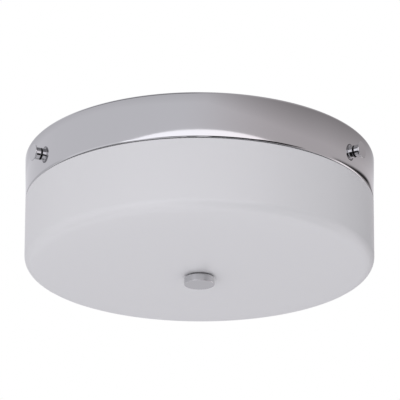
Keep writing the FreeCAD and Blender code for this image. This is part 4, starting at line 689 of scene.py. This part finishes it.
# ---------------------------------------------------------------------------------------------------------
# The room: a pale floor at the depth of a room, far below the light, soft lamps and a plain grey world. The
# chrome mirrors a studio instead: a grey ceiling, a white screen in front, a dark card low in front that the
# knobs show, a dark doorway behind on the right that the skirt's foot shows, and dark corners.
# ---------------------------------------------------------------------------------------------------------

ROOM_HEIGHT = 2.4
FLOOR_SIZE = 60.0
FLOOR_GREY = 0.88
bpy.ops.mesh.primitive_plane_add(size=FLOOR_SIZE, location=(0, 0, -ROOM_HEIGHT))
floor = bpy.context.object
floor.name = "floor"
floor_paint = bpy.data.materials.new("pale floor")
floor_paint.use_nodes = True
surface = floor_paint.node_tree.nodes["Principled BSDF"]
surface.inputs["Base Color"].default_value = (FLOOR_GREY, FLOOR_GREY, FLOOR_GREY, 1)
surface.inputs["Roughness"].default_value = 0.8
floor.data.materials.append(floor_paint)
floor.visible_glossy = False

world = bpy.data.worlds.new("room")
bpy.context.scene.world = world
world.use_nodes = True
tree = world.node_tree
tree.nodes.clear()
direction = tree.nodes.new("ShaderNodeTexCoord")
parts = tree.nodes.new("ShaderNodeSeparateXYZ")
tree.links.new(direction.outputs["Generated"], parts.inputs[0])
east, north, up = parts.outputs
sideways = maths(tree, "ABSOLUTE", east, 0.0)


def ramp(value, start, end, at_start=0.0, at_end=1.0, straight=False):
    """A level that runs from one number to another while a value runs from its start to its end."""
    node = tree.nodes.new("ShaderNodeMapRange")
    node.interpolation_type = "LINEAR" if straight else "SMOOTHSTEP"
    for label, number in (("From Min", start), ("From Max", end), ("To Min", at_start), ("To Max", at_end)):
        node.inputs[label].default_value = number
    tree.links.new(value, node.inputs["Value"])
    return node.outputs["Result"]


def over(value, edge, border):
    """1 where a value is over an edge and 0 where it is under it, with a soft border to both sides."""
    return ramp(maths(tree, "SUBTRACT", value, edge), -border, border)


def under(value, edge, border):
    """1 where a value is under an edge and 0 where it is over it, with a soft border to both sides."""
    return ramp(maths(tree, "SUBTRACT", value, edge), -border, border, 1.0, 0.0)


def mixed(share, first, second):
    """The first value where the share is 0 and the second where it is 1."""
    return maths(tree, "ADD", maths(tree, "MULTIPLY", second, share),
                 maths(tree, "MULTIPLY", first, maths(tree, "SUBTRACT", 1.0, share)))


def product(first, *others):
    """Several values multiplied together."""
    for value in others:
        first = maths(tree, "MULTIPLY", first, value)
    return first


# The ceiling. Past a line that tilts and comes lower to the right it darkens upwards, as far as a limit, and
# high overhead it has greys of its own. A level that changes has four numbers: where the change starts and
# ends, and the level at each.
CEILING_GREY = (-0.2, 1.0, 0.765, 0.585)
SHADE_START = (0.1, 0.9, 0.342, 0.327)
SHADE_LIMIT = (-0.1, 0.9, 0.25, 0.62)
SHADE_RATE = 24.0
SHADE_TILT = 0.0163
TILT_HINGE = -0.94
OVERHEAD_EDGE = 0.38
OVERHEAD_GREY = (-0.06, 0.06, 0.30, 0.52)
FAR_OVERHEAD_GREY = (-0.1, 0.5, 0.765, 0.48)
tilt = maths(tree, "MULTIPLY", maths(tree, "SUBTRACT", north, TILT_HINGE), SHADE_TILT)
shade = maths(tree, "SUBTRACT", up, tilt)
shade = maths(tree, "SUBTRACT", shade, ramp(east, *SHADE_START, straight=True))
shade = maths(tree, "MAXIMUM", maths(tree, "MULTIPLY", shade, SHADE_RATE), 0.0)
shade = maths(tree, "MINIMUM", shade, ramp(east, *SHADE_LIMIT))
ceiling = product(ramp(east, *CEILING_GREY), maths(tree, "SUBTRACT", 1.0, shade))
overhead = mixed(over(north, 0.0, border=0.1), ramp(east, *OVERHEAD_GREY), ramp(east, *FAR_OVERHEAD_GREY))
ceiling = mixed(over(up, OVERHEAD_EDGE, border=0.006), ceiling, overhead)

# The white screen in front, under the ceiling, with grey walls beside it and behind, and a pale ground.
SCREEN_WHITE = 1.53
SCREEN_TOP = 0.3249
SCREEN_SIDE = 0.72
SCREEN_BACK = 0.075
BESIDE_GREY = (-0.2, 0.2, 0.87, 0.585)
BEHIND_GREY = 0.64
GROUND_GREY = 0.90
GROUND_EDGE = -0.43
screen = mixed(over(sideways, SCREEN_SIDE, border=0.04), SCREEN_WHITE, ramp(east, *BESIDE_GREY))
screen = mixed(over(north, SCREEN_BACK, border=0.175), screen, BEHIND_GREY)
mirrored = mixed(over(up, SCREEN_TOP, border=0.0003), screen, ceiling)
mirrored = mixed(under(up, GROUND_EDGE, border=0.03), mirrored, GROUND_GREY)

# The dark card. Its foot is cut in steps, which give each knob its dark cross, and its right end stands
# higher and further forward.
CARD_BLACK = 0.015
CARD_SIDE = -0.40
CARD_TOP = (0.55, 0.70, -0.29, 0.10)
CARD_BACK = (0.55, 0.70, 0.0, -0.36)
CARD_FOOT = -0.64
CARD_STEPS = ((-0.10, -0.82), (0.0, -0.62), (0.10, -0.93))
card_foot = CARD_FOOT
for edge, foot in CARD_STEPS:
    card_foot = mixed(over(east, edge, border=0.02), card_foot, foot)
card = product(under(up, ramp(east, *CARD_TOP), border=0.02), over(up, card_foot, border=0.03),
               over(east, CARD_SIDE, border=0.15), under(north, ramp(east, *CARD_BACK), border=0.05))
mirrored = mixed(card, mirrored, CARD_BLACK)

# The doorway, dark at the top under a curved head, and bright under its sill, which slopes down to the back.
DOORWAY_FRONT = 0.14
DOORWAY_SIDE = 0.425
DOORWAY_HEAD = 0.3361
HEAD_SLOPE = 0.0155
HEAD_CURVE = 0.0155
DOORWAY_SILL = (0.2, 0.7, 0.05, -0.30)
DOORWAY_GREY = (0.0, 0.34, 0.40, 0.02)
SILL_WHITE = 1.30
head = maths(tree, "ADD", maths(tree, "MULTIPLY", north, HEAD_CURVE), HEAD_SLOPE)
head = maths(tree, "ADD", maths(tree, "MULTIPLY", north, head), DOORWAY_HEAD)
sill = ramp(north, *DOORWAY_SILL)
inside = ramp(up, *DOORWAY_GREY, straight=True)
doorway = product(over(north, DOORWAY_FRONT, border=0.08), over(east, DOORWAY_SIDE, border=0.175),
                  under(up, head, border=0.001))
mirrored = mixed(doorway, mirrored, mixed(over(up, sill, border=0.03), SILL_WHITE, inside))

# The dark corners on the ground, to the left and to the right.
CORNER_GREY = 0.20
CORNER_SIDE = 0.55
CORNER_TOP = -0.57
corner = product(over(sideways, CORNER_SIDE, border=0.05), under(up, CORNER_TOP, border=0.05))
mirrored = mixed(corner, mirrored, CORNER_GREY)

# Only rays off shiny surfaces meet the studio, a little blue on the left and pink on the right. The camera
# and rays through glass meet white, and all others a plain grey.
AMBIENT = 0.68
BACKDROP = 1.0
NO_CAST = (1.0, 1.0, 1.0)
LEFT_CAST = (1.0, 0.99, 1.045)
RIGHT_CAST = (1.0, 0.935, 0.965)
CAST_START = -0.3
CAST_END = 0.9
ray = tree.nodes.new("ShaderNodeLightPath")
strength = mixed(ray.outputs["Is Glossy Ray"], AMBIENT, mirrored)
strength = mixed(ray.outputs["Is Transmission Ray"], strength, BACKDROP)
strength = mixed(ray.outputs["Is Camera Ray"], strength, BACKDROP)
cast = mixed_colour(tree, ramp(east, CAST_START, CAST_END), LEFT_CAST, RIGHT_CAST)
colour = mixed_colour(tree, ray.outputs["Is Glossy Ray"], NO_CAST, cast)
background = tree.nodes.new("ShaderNodeBackground")
tree.links.new(colour, background.inputs["Color"])
tree.links.new(strength, background.inputs["Strength"])
output = tree.nodes.new("ShaderNodeOutputWorld")
tree.links.new(background.outputs[0], output.inputs["Surface"])

LAMP_DISTANCE = 2.0
LAMP_SIZE = 1.6
for name, towards, power in (
        ("key", (-0.35, -0.77, -0.53), 10.3),
        ("low back", (0, 0.6, -0.8), 2.8),
        ("top", (0.2, -0.3, 0.93), 4.0)):
    lamp = bpy.data.objects.new(name, bpy.data.lights.new(name, "AREA"))
    lamp.data.shape = "DISK"
    lamp.data.size = LAMP_SIZE
    lamp.data.energy = power
    lamp.location = Vector(towards).normalized() * LAMP_DISTANCE
    lamp.rotation_euler = lamp.location.to_track_quat("Z", "Y").to_euler()
    lamp.visible_glossy = False
    lamp.visible_camera = False
    bpy.context.collection.objects.link(lamp)


# ---------------------------------------------------------------------------------------------------------
# The camera. A long lens below the light and in front of it, at the photograph's viewing angle, turned and
# rolled a little and shifted, so that the light sits in the frame as it does there.
# ---------------------------------------------------------------------------------------------------------

CAMERA_TARGET = Vector((0, 0, -0.0612))
CAMERA_DISTANCE = 1.6091
CAMERA_RISE = math.radians(-20.9)
CAMERA_TURN = math.radians(1.6)
CAMERA_ROLL = math.radians(0.19)
camera = bpy.data.objects.new("camera", bpy.data.cameras.new("camera"))
bpy.context.collection.objects.link(camera)
away = Vector((0, -math.cos(CAMERA_RISE), math.sin(CAMERA_RISE)))
camera.location = CAMERA_TARGET + CAMERA_DISTANCE * (Matrix.Rotation(CAMERA_TURN, 3, "Z") @ away)
looking = (CAMERA_TARGET - camera.location).to_track_quat("-Z", "Y").to_matrix()
camera.rotation_euler = (looking @ Matrix.Rotation(CAMERA_ROLL, 3, "Z")).to_euler()
camera.data.lens = 145.4
camera.data.sensor_width = 36.0
camera.data.shift_x = 0.0012
camera.data.shift_y = 0.0537
camera.data.clip_end = 200.0
bpy.context.scene.camera = camera
bpy.context.scene.view_settings.view_transform = "Standard"
